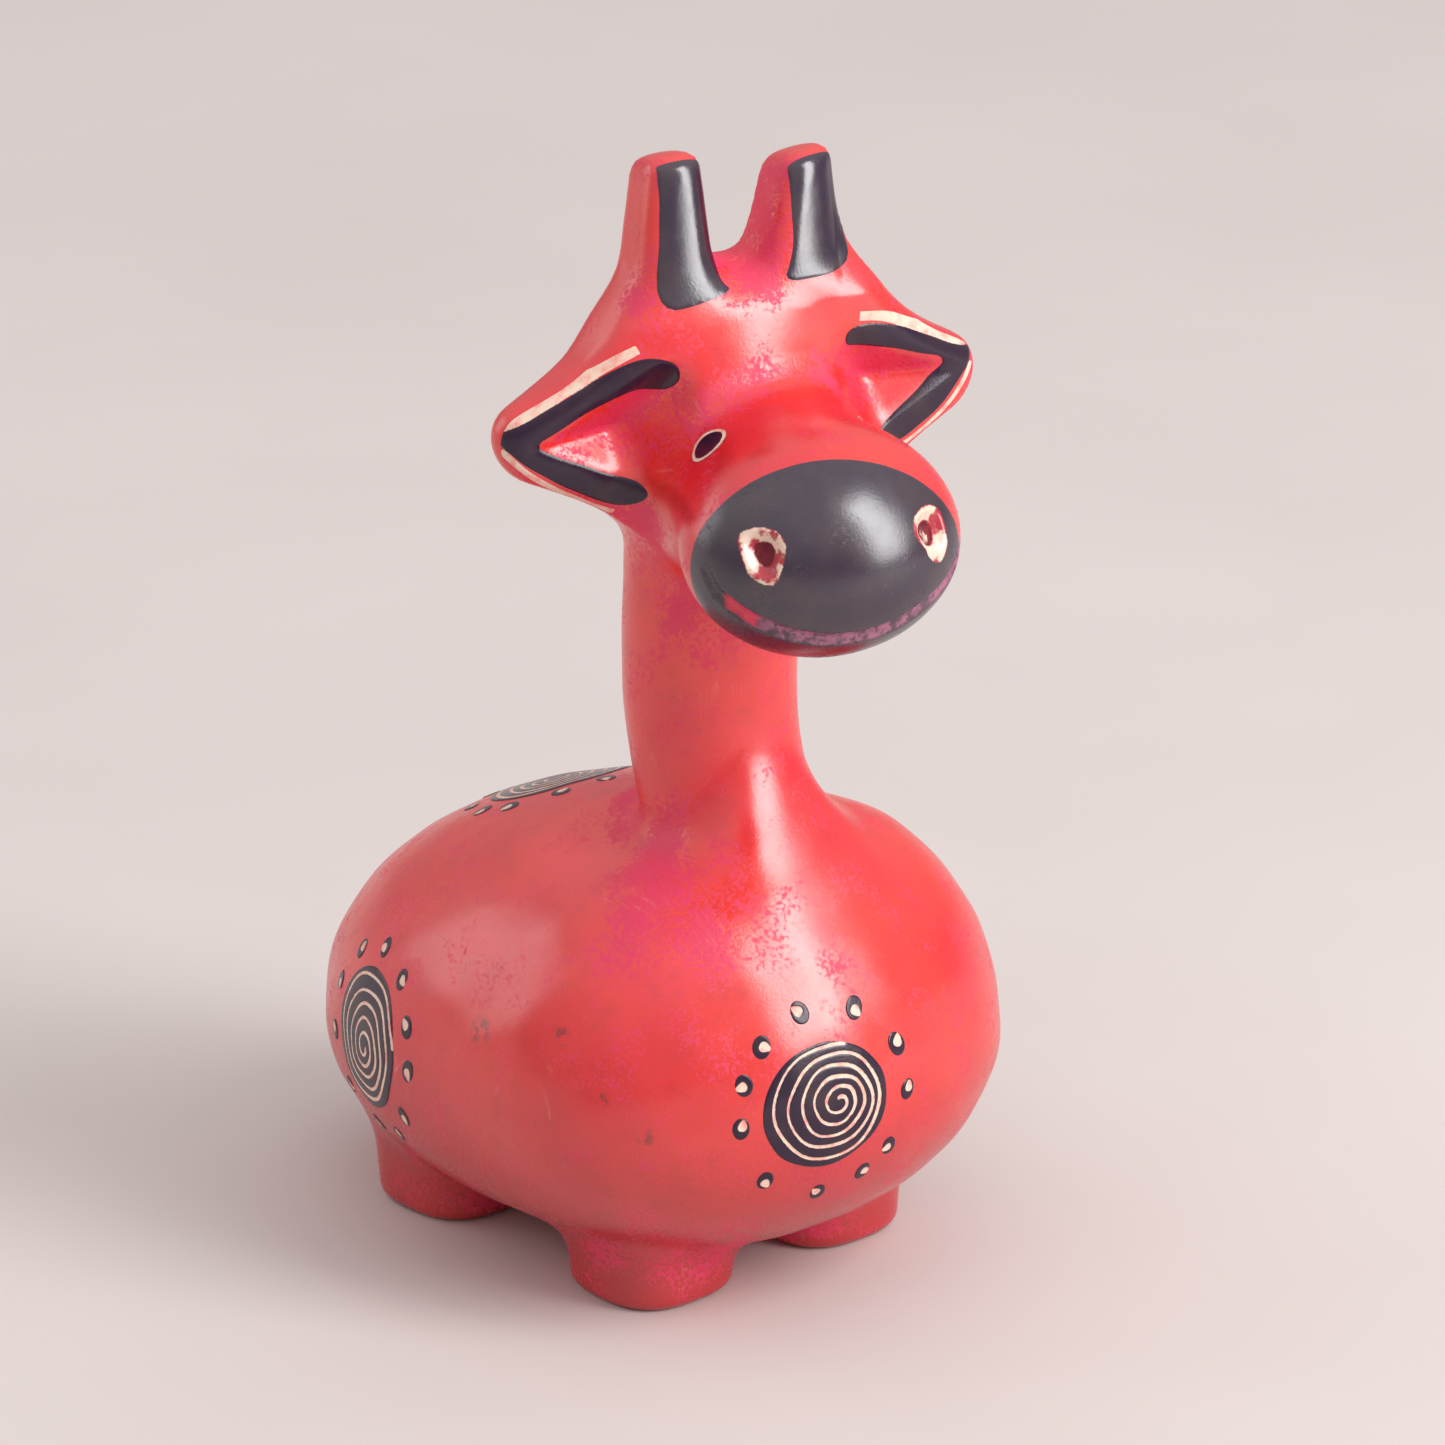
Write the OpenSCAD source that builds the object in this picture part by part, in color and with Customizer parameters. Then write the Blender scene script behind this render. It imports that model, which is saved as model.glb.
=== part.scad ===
// Carved giraffe figure: an egg-shaped body on four stub feet, a slim neck, and a turned head
// with cupped ears, two blunt horns and a dark muzzle. Millimetres, +Z up, the figure faces -Y,
// its own right side is -X, and the origin is on the ground below the middle of its outline.

/* [Body] */
// Width of the body
body_w = 51; // [42:0.5:62]
// Length of the body in front of its widest section
body_front = 21; // [17.5:0.5:26]
// Length of the body behind its widest section
body_rear = 43.7; // [36:0.5:53]
// Height of the back above the widest level
body_rise = 22.9; // [19:0.5:28]
// Depth of the belly below the widest level
body_drop = 16.5; // [13.5:0.5:17]
// Height of the widest level above the ground
body_level = 19.2; // [18.5:0.1:24]
// Distance of the widest section in front of the middle of the feet
body_lead = 11.4; // [8:0.2:14]
// Downward slope of the body toward the tail end, in degrees
body_slope = 7.5; // [0:0.5:9]
// Squareness of the body, where 2 is an egg
body_round = 2.08; // [2:0.02:2.4]

/* [Feet] */
// Diameter of each foot
foot_d = 13.6; // [10:0.2:16]
// Distance between left and right feet
foot_track = 19.4; // [16:0.2:23]
// Distance between front and rear feet
foot_base = 25.4; // [20:0.2:30]
// Radius of the rounded edge of each sole
foot_edge = 1.2; // [0.5:0.1:2]

/* [Neck] */
// Diameter of the neck at its slimmest
neck_d = 14.1; // [11:0.1:17]
// Diameter of the neck where it enters the head
neck_top_d = 15.6; // [12:0.1:18]
// Height of the slimmest level above the ground
neck_level = 52; // [48:0.5:58]
// Height of the middle of the head above the ground
head_level = 78.6; // [66:0.2:95]
// How far the root of the neck spreads forward over the chest
neck_flare = 5.4; // [3:0.2:6]

/* [Head] */
// Turn of the head toward the figure's right, in degrees
head_turn = 18; // [0:1:30]
// Lean of the head, left side up, in degrees
head_lean = 1.3; // [-4:0.1:4]
// Width of the skull at the ears
skull_w = 22.8; // [18:0.2:27]
// Height of the skull above the middle of the head
skull_top = 11.7; // [9:0.1:14]
// Depth of the jaw below the middle of the head
jaw_drop = 14.8; // [12:0.1:17]
// Reach of the skull behind the ears
skull_back = 10.6; // [9.6:0.1:12]
// Reach of the snout in front of the ears
snout_len = 26.6; // [22:0.2:32]
// Width of the muzzle
muzzle_w = 24; // [20:0.2:28]
// Height of the muzzle
muzzle_h = 19.2; // [16:0.2:22]
// Share of the snout's reach where the dark end starts
muzzle_share = 0.745; // [0.66:0.005:0.78]

/* [Ears and horns] */
// Distance between the two ear tips
ear_span = 44.4; // [37:0.2:54]
// Height of an ear above its tip at the root
ear_rise = 9.6; // [8:0.2:12]
// Extra height that the upper edge of an ear sweeps up beside the horn
ear_web = 11; // [0:0.5:13]
// Depth of an ear below its tip at the root
ear_drop = 8.6; // [6:0.2:11]
// Thickness of an ear at the root
ear_t = 7.4; // [6:0.1:7.8]
// Depth of the hollow in the front of an ear
ear_hollow = 2.6; // [1:0.1:3]
// Height of the right horn above the middle of the head
right_horn_h = 22.6; // [18:0.2:28]
// Height of the left horn above the middle of the head
left_horn_h = 21.4; // [18:0.2:28]
// Distance between the two horns
horn_gap = 12.6; // [10.5:0.1:15]
// Width of a horn at its tip
horn_w = 4.9; // [3.6:0.1:6]
// Depth of a horn from front to back at its tip
horn_depth = 6.8; // [5:0.1:8]

/* [Paint] */
// Thickness of the painted marks
paint_t = 0.25; // [0.15:0.05:0.5]
// Diameter of the spiral discs
disc_d = 11.8; // [9:0.2:14.2]
// Turns of the scratched spiral
disc_turns = 5; // [3:1:6]
// Width of the scratched spiral line
line_w = 0.3; // [0.2:0.05:0.4]
// Diameter of the ring of dots around a disc
dots_ring_d = 16.8; // [15:0.2:20]
// Number of dots around a disc
dots_count = 11; // [7:1:14]
// Diameter of one dot
dot_d = 1.7; // [1:0.1:2.2]

/* [Hidden] */
$fn = 48;

stone = [0.80, 0.25, 0.22];
black = [0.19, 0.16, 0.22];

// Facets around and along each form
body_around = 48;
body_bands = 22;
neck_around = 32;
neck_bands = 16;
head_around = 36;
dome_bands = 5;
last_band = 85;
bridge_bands = 8;
horn_around = 24;
horn_bands = 6;
edge_bands = 3;
ear_around = 28;
ear_bands = 12;
dot_around = 10;
spiral_steps = 26;
paint_gap = 0.02;

// Body frame
body_half = body_w / 2;
body_mid = [0, -body_lead, body_level];
body_axes = [body_half, (body_front + body_rear) / 2, (body_rise + body_drop) / 2];

// Neck spine: how deep its ends sit, and how far it bows from the widest section of the body
neck_root_share = 0.6;
neck_top_share = 0.45;
neck_root_bow = -3;
neck_mid_bow = 2;
neck_top_bow = 0.6;
flare_share = 0.72;
flare_even = 0.15;
neck_root_z = body_level + body_rise * neck_root_share;
neck_top_z = head_level - jaw_drop * neck_top_share;
neck_root_y = neck_root_bow - body_lead;
neck_mid_y = neck_mid_bow - body_lead;
neck_top_y = neck_top_bow - body_lead;
flare_z = mid(neck_root_z, neck_level, flare_share);

// Head frame
head_lead = 1.5;
head_mid = [0, -body_lead - head_lead, head_level];
skull_axis = -4.5;
muzzle_mid_share = 0.63;
muzzle_mid = snout_len * muzzle_mid_share;
muzzle_edge = snout_len * muzzle_share;
muzzle_top = 2.9;
muzzle_axis = muzzle_top - muzzle_h / 2;
brow_share = 0.3;
brow_len = snout_len * brow_share;
bridge_pinch = 1.5;
head_square = 2.2;
plate_y = 0.6;
paint_slant = 12;

// Front and rear limits of the figure, and the shift that puts the origin below its middle
nose_reach = norm([(snout_len - muzzle_mid) * cos(head_turn), muzzle_w / 2 * sin(head_turn)]);
nose_y = head_mid.y - muzzle_mid * cos(head_turn) - nose_reach;
tail_y = body_mid.y + body_rear * cos(body_slope);
centre_y = (nose_y + tail_y) / 2;

// Small helpers
function mid(a, b, t) = a + (b - a) * t;
function unit(v) = v / norm(v);
function ease(t) = t * t * (3 - 2 * t);
function limit(t) = max(0, min(1, t));
function dome(t) = sqrt(max(0, 1 - t * t));
function bend(v, e) = sign(v) * pow(abs(v), e);
function turn_x(a, p) = [p.x, p.y * cos(a) - p.z * sin(a), p.y * sin(a) + p.z * cos(a)];

// A closed skin from a start point through equal rings to an end point
module skin(start, rings, finish) {
    n = len(rings[0]);
    m = len(rings);
    last = 1 + m * n;
    points = concat([start], [for (r = rings) each r], [finish]);
    foot = [for (j = [0 : n - 1]) [0, 1 + j, 1 + (j + 1) % n]];
    crown = [for (j = [0 : n - 1]) [last, last - n + (j + 1) % n, last - n + j]];
    side = [
        for (i = [0 : m - 2], j = [0 : n - 1])
            let (a = 1 + i * n, b = a + n, k = (j + 1) % n)
            each [[a + j, b + k, a + k], [a + j, b + j, b + k]]
    ];
    polyhedron(points, concat(foot, side, crown));
}

// A thin closed strip between rows of points on a surface and the same rows lifted off it
module strip(low, high) {
    m = len(low);
    n = len(low[0]);
    lift = m * n;
    end = (m - 1) * n;
    points = concat([for (r = low) each r], [for (r = high) each r]);
    spread = [
        for (i = [0 : m - 2], j = [0 : n - 2])
            let (a = i * n + j, b = a + n, c = a + lift, d = b + lift)
            each [[a, b + 1, a + 1], [a, b, b + 1], [c + 1, d, c], [c + 1, d + 1, d]]
    ];
    sides = [
        for (i = [0 : m - 2])
            let (a = i * n, b = a + n, c = b - 1, d = c + n)
            each [[c, d + lift, c + lift], [c, d, d + lift], [a + lift, b, a], [a + lift, b + lift, b]]
    ];
    ends = [
        for (j = [0 : n - 2])
            let (a = j, b = end + j)
            each [
                [a, a + 1, a + 1 + lift], [a, a + 1 + lift, a + lift],
                [b, b + 1 + lift, b + 1], [b, b + lift, b + 1 + lift]
            ]
    ];
    polyhedron(points, concat(spread, sides, ends));
}

// Body surface in a direction from the middle of the body, and its outward normal
function body_radii(q) = [
    body_half,
    q.y > 0 ? body_rear : body_front,
    q.z > 0 ? body_rise : body_drop
];
function body_reach(q) = let (r = body_radii(q))
    pow(
        pow(abs(q.x) / r.x, body_round) + pow(abs(q.y) / r.y, body_round)
            + pow(abs(q.z) / r.z, body_round),
        -1 / body_round
    );
function body_local(q) = q * body_reach(q);
function body_slant(q, r) = [for (i = [0 : 2]) bend(q[i] / r[i], body_round - 1) / r[i]];
function body_point(d, lift) = let (
    q = body_local(unit(turn_x(body_slope, d))),
    up = unit(body_slant(q, body_radii(q)))
) body_mid + turn_x(-body_slope, q + up * lift);

module body_form() {
    rings = [
        for (i = [1 : body_bands - 1])
            let (v = -90 + 180 * i / body_bands)
            [
                for (j = [0 : body_around - 1])
                    let (
                        u = 360 * j / body_around,
                        d = [cos(v) * cos(u), cos(v) * sin(u), sin(v)],
                        q = [for (k = [0 : 2]) d[k] * body_axes[k]]
                    )
                    body_mid + turn_x(-body_slope, body_local(unit(q)))
            ]
    ];
    bottom = body_mid + turn_x(-body_slope, [0, 0, -body_drop]);
    top = body_mid + turn_x(-body_slope, [0, 0, body_rise]);
    skin(bottom, rings, top);
}

// Neck: round sections along a bowed spine, spreading forward at the root
function spine_y(z) = z < neck_level
    ? mid(neck_mid_y, neck_root_y, pow((neck_level - z) / (neck_level - neck_root_z), 2))
    : mid(neck_mid_y, neck_top_y, pow((z - neck_level) / (neck_top_z - neck_level), 2));
function neck_rise(z) = limit((z - neck_level) / (neck_top_z - neck_level));
function neck_r(z) = mid(neck_d, neck_top_d, ease(neck_rise(z))) / 2;
function flare_r(z, u) = let (
    low = limit((flare_z - z) / (flare_z - neck_root_z)),
    front = 0.5 - 0.5 * sin(u)
) neck_flare * pow(low, 3) * mid(flare_even, 1, front * front);

module neck_form() {
    rings = [
        for (i = [0 : neck_bands])
            let (z = mid(neck_root_z, neck_top_z, i / neck_bands))
            [
                for (j = [0 : neck_around - 1])
                    let (u = 360 * j / neck_around, r = neck_r(z) + flare_r(z, u))
                    [r * cos(u), spine_y(z) + r * sin(u), z]
            ]
    ];
    skin([0, neck_root_y, neck_root_z], rings, [0, neck_top_y, neck_top_z]);
}

// Head sections, where s is the distance in front of the ears
function fore(s) = (s - muzzle_mid) / (snout_len - muzzle_mid);
function aft(s) = -s / skull_back;
function head_half(s) = s < 0
    ? skull_w / 2 * dome(aft(s))
    : s > muzzle_mid
    ? muzzle_w / 2 * dome(fore(s))
    : mid(skull_w, muzzle_w, ease(s / muzzle_mid)) / 2 - bridge_pinch * sin(180 * s / muzzle_mid);
function head_axis(s) = mid(skull_axis, muzzle_axis, limit(s / muzzle_mid));
function head_top(s) = s < 0
    ? (skull_top - skull_axis) * dome(aft(s))
    : s > muzzle_mid
    ? muzzle_h / 2 * dome(fore(s))
    : mid(skull_top, muzzle_top, ease(limit(s / brow_len))) - head_axis(s);
function head_low(s) = s < 0
    ? (jaw_drop + skull_axis) * dome(aft(s))
    : s > muzzle_mid
    ? muzzle_h / 2 * dome(fore(s))
    : mid(jaw_drop + skull_axis, muzzle_h / 2, ease(s / muzzle_mid));
function head_point(s, a) = [
    head_half(s) * bend(cos(a), 2 / head_square),
    -s,
    head_axis(s) + (sin(a) > 0 ? head_top(s) : head_low(s)) * bend(sin(a), 2 / head_square)
];
function head_ring(s) = [for (j = [0 : head_around - 1]) head_point(s, 360 * j / head_around)];

module head_form() {
    rings = concat(
        [for (i = [1 : dome_bands - 1]) head_ring(-skull_back * cos(90 * i / dome_bands))],
        [for (i = [0 : bridge_bands]) head_ring(muzzle_mid * i / bridge_bands)],
        [for (i = [1 : dome_bands]) head_ring(mid(muzzle_mid, snout_len, sin(last_band * i / dome_bands)))]
    );
    skin([0, skull_back, skull_axis], rings, [0, -snout_len, muzzle_axis]);
}

module in_head() {
    translate(head_mid)
        rotate([0, -head_lean, -head_turn])
            children();
}

// Everything in front of the edge of the dark muzzle
module muzzle_zone() {
    reach = snout_len + muzzle_w;
    translate([0, -muzzle_edge, 0])
        rotate([0, 0, paint_slant])
            translate([-reach, -reach, -reach])
                cube([2 * reach, reach, 2 * reach]);
}

// Drilled nostrils, each with a wide shallow mouth
nostril_side_share = 0.32;
nostril_up_share = 0.13;
nostril_fore_share = 0.62;
nostril_tilt = 14;
nostril_splay = 34;
nostril_x = muzzle_w * nostril_side_share;
nostril_z = muzzle_axis + muzzle_h * nostril_up_share;
nostril_s = mid(muzzle_mid, snout_len, nostril_fore_share);
nostril_d = 1.9;
nostril_mouth_d = 3.6;
nostril_depth = 2.4;
nostril_out = 3;
module nostril(side) {
    translate([side * nostril_x, -nostril_s, nostril_z])
        rotate([90 - nostril_tilt, 0, side * nostril_splay])
            union() {
                translate([0, 0, -nostril_depth])
                    cylinder(d = nostril_d, h = nostril_depth + nostril_out);
                cylinder(d1 = nostril_d, d2 = nostril_mouth_d * 2, h = nostril_out);
            }
}

// Mouth: a carved line across the front of the muzzle
mouth_r = 0.45;
mouth_back = 0.9;
mouth_fore = 1.4;
mouth_curve = 0.8;
mouth_corner_s = muzzle_edge - mouth_back;
mouth_front_s = nostril_s + mouth_fore;
mouth_steps = 20;
mouth_around = 8;
mouth_from = 4;
mouth_to = 158;
function mouth_point(t) = let (b = mid(mouth_from, mouth_to, t))
    head_point(mid(mouth_corner_s, mouth_front_s, pow(sin(b), mouth_curve)), 180 + b);
function mouth_along(t) = unit(mouth_point(t + 0.5 / mouth_steps) - mouth_point(t - 0.5 / mouth_steps));
module mouth() {
    middle = [0, -muzzle_mid, muzzle_axis];
    rings = [
        for (i = [0 : mouth_steps])
            let (
                p = mouth_point(i / mouth_steps),
                out = unit(p - middle),
                side = unit(cross(mouth_along(i / mouth_steps), out))
            )
            [
                for (j = [0 : mouth_around - 1])
                    let (a = 360 * j / mouth_around)
                    p + mouth_r * (cos(a) * out + sin(a) * side)
            ]
    ];
    skin(mouth_point(0), rings, mouth_point(1));
}

// Horns: rounded blocks with blunt tips
horn_root_share = 0.1;
horn_root_z = skull_top * horn_root_share;
horn_root_w = 7.6;
horn_root_depth = 8.6;
horn_square = 3;
horn_edge = 1.5;
horn_lean = 0.2;
function horn_point(v, a, h, inset, lift) = let (
    w = mid(horn_root_w, horn_w, v) / 2 - inset + lift,
    d = mid(horn_root_depth, horn_depth, v) / 2 - inset + lift
) [
    horn_gap / 2 + horn_lean * v + w * bend(cos(a), 2 / horn_square),
    plate_y + d * bend(sin(a), 2 / horn_square),
    mid(horn_root_z, h, v)
];
function horn_ring(v, h, inset) = [
    for (j = [0 : horn_around - 1]) horn_point(v, 360 * j / horn_around, h, inset, 0)
];
function horn_shoulder(h) = 1 - horn_edge / (h - horn_root_z);

module horn_form(h) {
    v1 = horn_shoulder(h);
    rings = concat(
        [for (i = [0 : horn_bands]) horn_ring(v1 * i / horn_bands, h, 0)],
        [
            for (i = [1 : edge_bands])
                let (b = 90 * i / edge_bands)
                horn_ring(mid(v1, 1, sin(b)), h, horn_edge * (1 - cos(b)))
        ]
    );
    lean = horn_gap / 2 + horn_lean;
    skin([horn_gap / 2, plate_y, horn_root_z], rings, [lean, plate_y, h]);
}

// Ears: leaf sections from inside the skull to the tip, hollowed in front
ear_root_x = horn_gap / 2;
ear_web_x = (horn_gap + horn_root_w) / 2;
ear_tip_z = 0.4;
ear_tip_t = 4;
ear_rim = 0.76;
ear_square = 3;
ear_upper_curve = 0.8;
ear_lower_curve = 0.5;
ear_web_curve = 5;
ear_tip_round = 6;
ear_tip_curve = 0.4;
ear_dip_curve = 0.8;
function ear_x(u) = mid(ear_root_x, ear_span / 2, u);
ear_web_u = (ear_web_x - ear_root_x) / (ear_span / 2 - ear_root_x);
function ear_edge(u) = ear_rise * pow(1 - u, ear_upper_curve);
function ear_sweep(u) = ear_web * pow(1 - max(u, ear_web_u), ear_web_curve);
function ear_up(u) = ear_edge(u) + ear_sweep(u);
function ear_down(u) = ear_drop * pow(1 - u, ear_lower_curve);
function ear_z(u) = ear_tip_z + (ear_up(u) - ear_down(u)) / 2;
function ear_half(u) = (ear_up(u) + ear_down(u)) / 2;
function ear_thin(u) = mid(ear_t, ear_tip_t, u) / 2 * pow(1 - pow(u, ear_tip_round), ear_tip_curve);
function ear_dip(u, k) = ear_hollow * sin(180 * pow(u, ear_dip_curve)) * max(0, 1 - pow(k / ear_rim, 2));
function ear_bulge(k) = pow(max(0, 1 - pow(abs(k), head_square)), 1 / ear_square);
function ear_front(u, k, lift) = [
    ear_x(u),
    plate_y - ear_thin(u) * ear_bulge(k) + ear_dip(u, abs(k)) - lift,
    ear_z(u) + ear_half(u) * k
];
function ear_rear(u, k) = [ear_x(u), plate_y + ear_thin(u) * ear_bulge(k), ear_z(u) + ear_half(u) * k];
function ear_ring(u) = [
    for (j = [0 : ear_around - 1])
        let (a = 360 * j / ear_around, k = bend(sin(a), 2 / head_square))
        cos(a) < 0 ? ear_front(u, k, 0) : ear_rear(u, k)
];

module ear_form() {
    rings = [for (i = [0 : ear_bands - 1]) ear_ring(sin(90 * i / ear_bands))];
    skin([ear_root_x, plate_y, ear_z(0)], rings, [ear_span / 2, plate_y, ear_tip_z]);
}

// A foot before it is cut to the belly
foot_share = 0.6;
foot_h = body_level * foot_share;
module foot_form(side, end) {
    translate([side * foot_track / 2, end * foot_base / 2, 0])
        rotate_extrude()
            union() {
                square([foot_d / 2 - foot_edge, foot_h]);
                translate([0, foot_edge])
                    square([foot_d / 2, foot_h - foot_edge]);
                translate([foot_d / 2 - foot_edge, foot_edge])
                    intersection() {
                        circle(foot_edge);
                        translate([0, -foot_edge])
                            square([foot_edge, foot_edge]);
                    }
            }
}

module foot(side, end) {
    color(stone)
        placed()
            difference() {
                foot_form(side, end);
                body_form();
            }
}

// Painted marks on the body: c is a point to aim at, r and a place a point around it
function mark_right(c) = unit(cross([0, 0, 1], c));
function mark_up(c) = unit(cross(c, mark_right(c)));
function mark_point(c, r, a, lift) =
    body_point(c + r * (cos(a) * mark_right(c) + sin(a) * mark_up(c)), lift);

function dot_ring(base, lift) = [
    for (j = [0 : dot_around - 1]) mark_point(base, dot_d / 2, 360 * j / dot_around, lift)
];
module dot(c, r, a) {
    base = c + r * (cos(a) * mark_right(c) + sin(a) * mark_up(c));
    rings = [dot_ring(base, paint_gap), dot_ring(base, paint_t)];
    skin(body_point(base, paint_gap), rings, body_point(base, paint_t));
}

module dots(c) {
    color(black)
        placed()
            for (i = [0 : dots_count - 1])
                dot(c, dots_ring_d / 2, 360 * (i + 0.5) / dots_count);
}

// A dark disc whose band winds between the turns of the scratched spiral
disc_rim = 0.5;
disc_pitch = (disc_d / 2 - disc_rim) / disc_turns;
function turn_in(t) = disc_pitch * t + line_w / 2;
function turn_out(t) = t > disc_turns - 1 ? disc_d / 2 : disc_pitch * (t + 1) - line_w / 2;
function disc_rows(c, lift) = [
    for (i = [0 : disc_turns * spiral_steps])
        let (t = i / spiral_steps)
        [mark_point(c, turn_out(t), 360 * t, lift), mark_point(c, turn_in(t), 360 * t, lift)]
];
module disc(c) {
    color(black)
        placed()
            strip(disc_rows(c, paint_gap), disc_rows(c, paint_t));
}

// Aims of the four discs from the middle of the body
chest_aim = body_front * [-0.30, -0.97, 0.12];
flank_aim = body_half * [-0.88, 0.85, 0];
back_aim = body_rise * [0.04, 0.95, 0.78];
function across(c) = [-c.x, c.y, c.z];

// Eyes, horn paint and ear strokes, built in the head frame
eye_share = 0.36;
eye_s = snout_len * eye_share;
eye_a = 48;
eye_len = 2.5;
eye_h = 3.1;
eye_fore = 0.2;
module eye() {
    step = eye_h / skull_w * 180 / PI;
    out = unit([cos(eye_a), -eye_fore, sin(eye_a)]);
    low = [
        for (j = [0 : dot_around - 1])
            let (u = -360 * j / dot_around)
            head_point(eye_s + eye_len / 2 * cos(u), eye_a + step * sin(u)) + out * paint_gap
    ];
    high = [for (p = low) p + out * paint_t];
    c = head_point(eye_s, eye_a) + out * paint_gap;
    skin(c, [low, high], c + out * paint_t);
}

horn_paint_arc = 52;
horn_paint_low = 0.48;
horn_paint_steps = 8;
horn_paint_side = 4;
function horn_paint_rows(h, lift) = [
    for (i = [0 : horn_paint_steps])
        let (v = mid(horn_paint_low, horn_shoulder(h), i / horn_paint_steps))
        [
            for (k = [horn_paint_side : -1 : -horn_paint_side])
                horn_point(v, 270 + horn_paint_arc * k / horn_paint_side, h, 0, lift)
        ]
];
module horn_paint(h) {
    strip(horn_paint_rows(h, paint_gap), horn_paint_rows(h, paint_t));
}

// A point of the ear's front by its share k of the way from the tip's level to the plain edge
function ear_mark(u, k, lift) = let (z = k * (k > 0 ? ear_edge(u) : ear_down(u)))
    ear_front(u, (ear_tip_z + z - ear_z(u)) / ear_half(u), lift);
stroke_in = 0.62;
stroke_out = 0.93;
stroke_start = 0.32;
stroke_bend = 0.84;
stroke_tip = 0.965;
stroke_steps = 8;
// The V of a stroke as pairs of inner and outer places, from the upper root round the tip
function stroke_arm(t, side) = let (u = mid(stroke_start, stroke_bend, t))
    [[u, side * stroke_in], [u, side * stroke_out]];
function stroke_round(b) = [
    [stroke_bend, stroke_in * sin(b)],
    [mid(stroke_bend, stroke_tip, cos(b)), stroke_out * sin(b)]
];
stroke_path = concat(
    [for (i = [0 : stroke_steps]) stroke_arm(i / stroke_steps, 1)],
    [for (i = [1 : stroke_steps - 1]) stroke_round(90 - 180 * i / stroke_steps)],
    [for (i = [0 : stroke_steps]) stroke_arm(1 - i / stroke_steps, -1)]
);
function stroke_rows(lift) = [for (pair = stroke_path) [for (m = pair) ear_mark(m[0], m[1], lift)]];
module ear_strokes() {
    strip(stroke_rows(paint_gap), stroke_rows(paint_t));
}

// Shared builders of the pieces, each cut to the one it grows from
module placed() {
    translate([0, -centre_y, 0])
        children();
}

module on_side(side) {
    mirror([side < 0 ? 1 : 0, 0, 0])
        children();
}

module horn(side, h) {
    color(stone)
        placed()
            in_head()
                difference() {
                    on_side(side)
                        horn_form(h);
                    head_form();
                }
}

module ear(side, h) {
    color(stone)
        placed()
            in_head()
                difference() {
                    on_side(side)
                        ear_form();
                    on_side(side)
                        horn_form(h);
                    head_form();
                }
}

module head_mark(side) {
    color(black)
        placed()
            in_head()
                on_side(side)
                    children();
}

// The pieces
module body() {
    color(stone)
        placed()
            body_form();
}

module neck() {
    color(stone)
        placed()
            difference() {
                neck_form();
                body_form();
                in_head()
                    head_form();
            }
}

module head() {
    color(stone)
        placed()
            in_head()
                difference() {
                    head_form();
                    muzzle_zone();
                }
}

module muzzle() {
    color(black)
        placed()
            in_head()
                difference() {
                    intersection() {
                        head_form();
                        muzzle_zone();
                    }
                    nostril(-1);
                    nostril(1);
                    mouth();
                }
}

module right_horn() {
    horn(-1, right_horn_h);
}

module left_horn() {
    horn(1, left_horn_h);
}

module right_ear() {
    ear(-1, right_horn_h);
}

module left_ear() {
    ear(1, left_horn_h);
}

module front_right_foot() {
    foot(-1, -1);
}

module front_left_foot() {
    foot(1, -1);
}

module rear_right_foot() {
    foot(-1, 1);
}

module rear_left_foot() {
    foot(1, 1);
}

module right_horn_paint() {
    head_mark(-1)
        horn_paint(right_horn_h);
}

module left_horn_paint() {
    head_mark(1)
        horn_paint(left_horn_h);
}

module right_ear_strokes() {
    head_mark(-1)
        ear_strokes();
}

module left_ear_strokes() {
    head_mark(1)
        ear_strokes();
}

module right_eye() {
    head_mark(-1)
        eye();
}

module left_eye() {
    head_mark(1)
        eye();
}

module chest_disc() {
    disc(chest_aim);
}

module right_flank_disc() {
    disc(flank_aim);
}

module left_flank_disc() {
    disc(across(flank_aim));
}

module back_disc() {
    disc(back_aim);
}

module chest_dots() {
    dots(chest_aim);
}

module right_flank_dots() {
    dots(flank_aim);
}

module left_flank_dots() {
    dots(across(flank_aim));
}

module back_dots() {
    dots(back_aim);
}

body();
neck();
head();
muzzle();
right_horn();
left_horn();
right_ear();
left_ear();
front_right_foot();
front_left_foot();
rear_right_foot();
rear_left_foot();
right_horn_paint();
left_horn_paint();
right_ear_strokes();
left_ear_strokes();
right_eye();
left_eye();
chest_disc();
right_flank_disc();
left_flank_disc();
back_disc();
chest_dots();
right_flank_dots();
left_flank_dots();
back_dots();
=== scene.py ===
"""A carved and dyed stone giraffe: its smooth stone, its dark paint and its scratched marks."""
import math

import bmesh
import bpy
import numpy as np
from mathutils import Matrix, Vector


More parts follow.
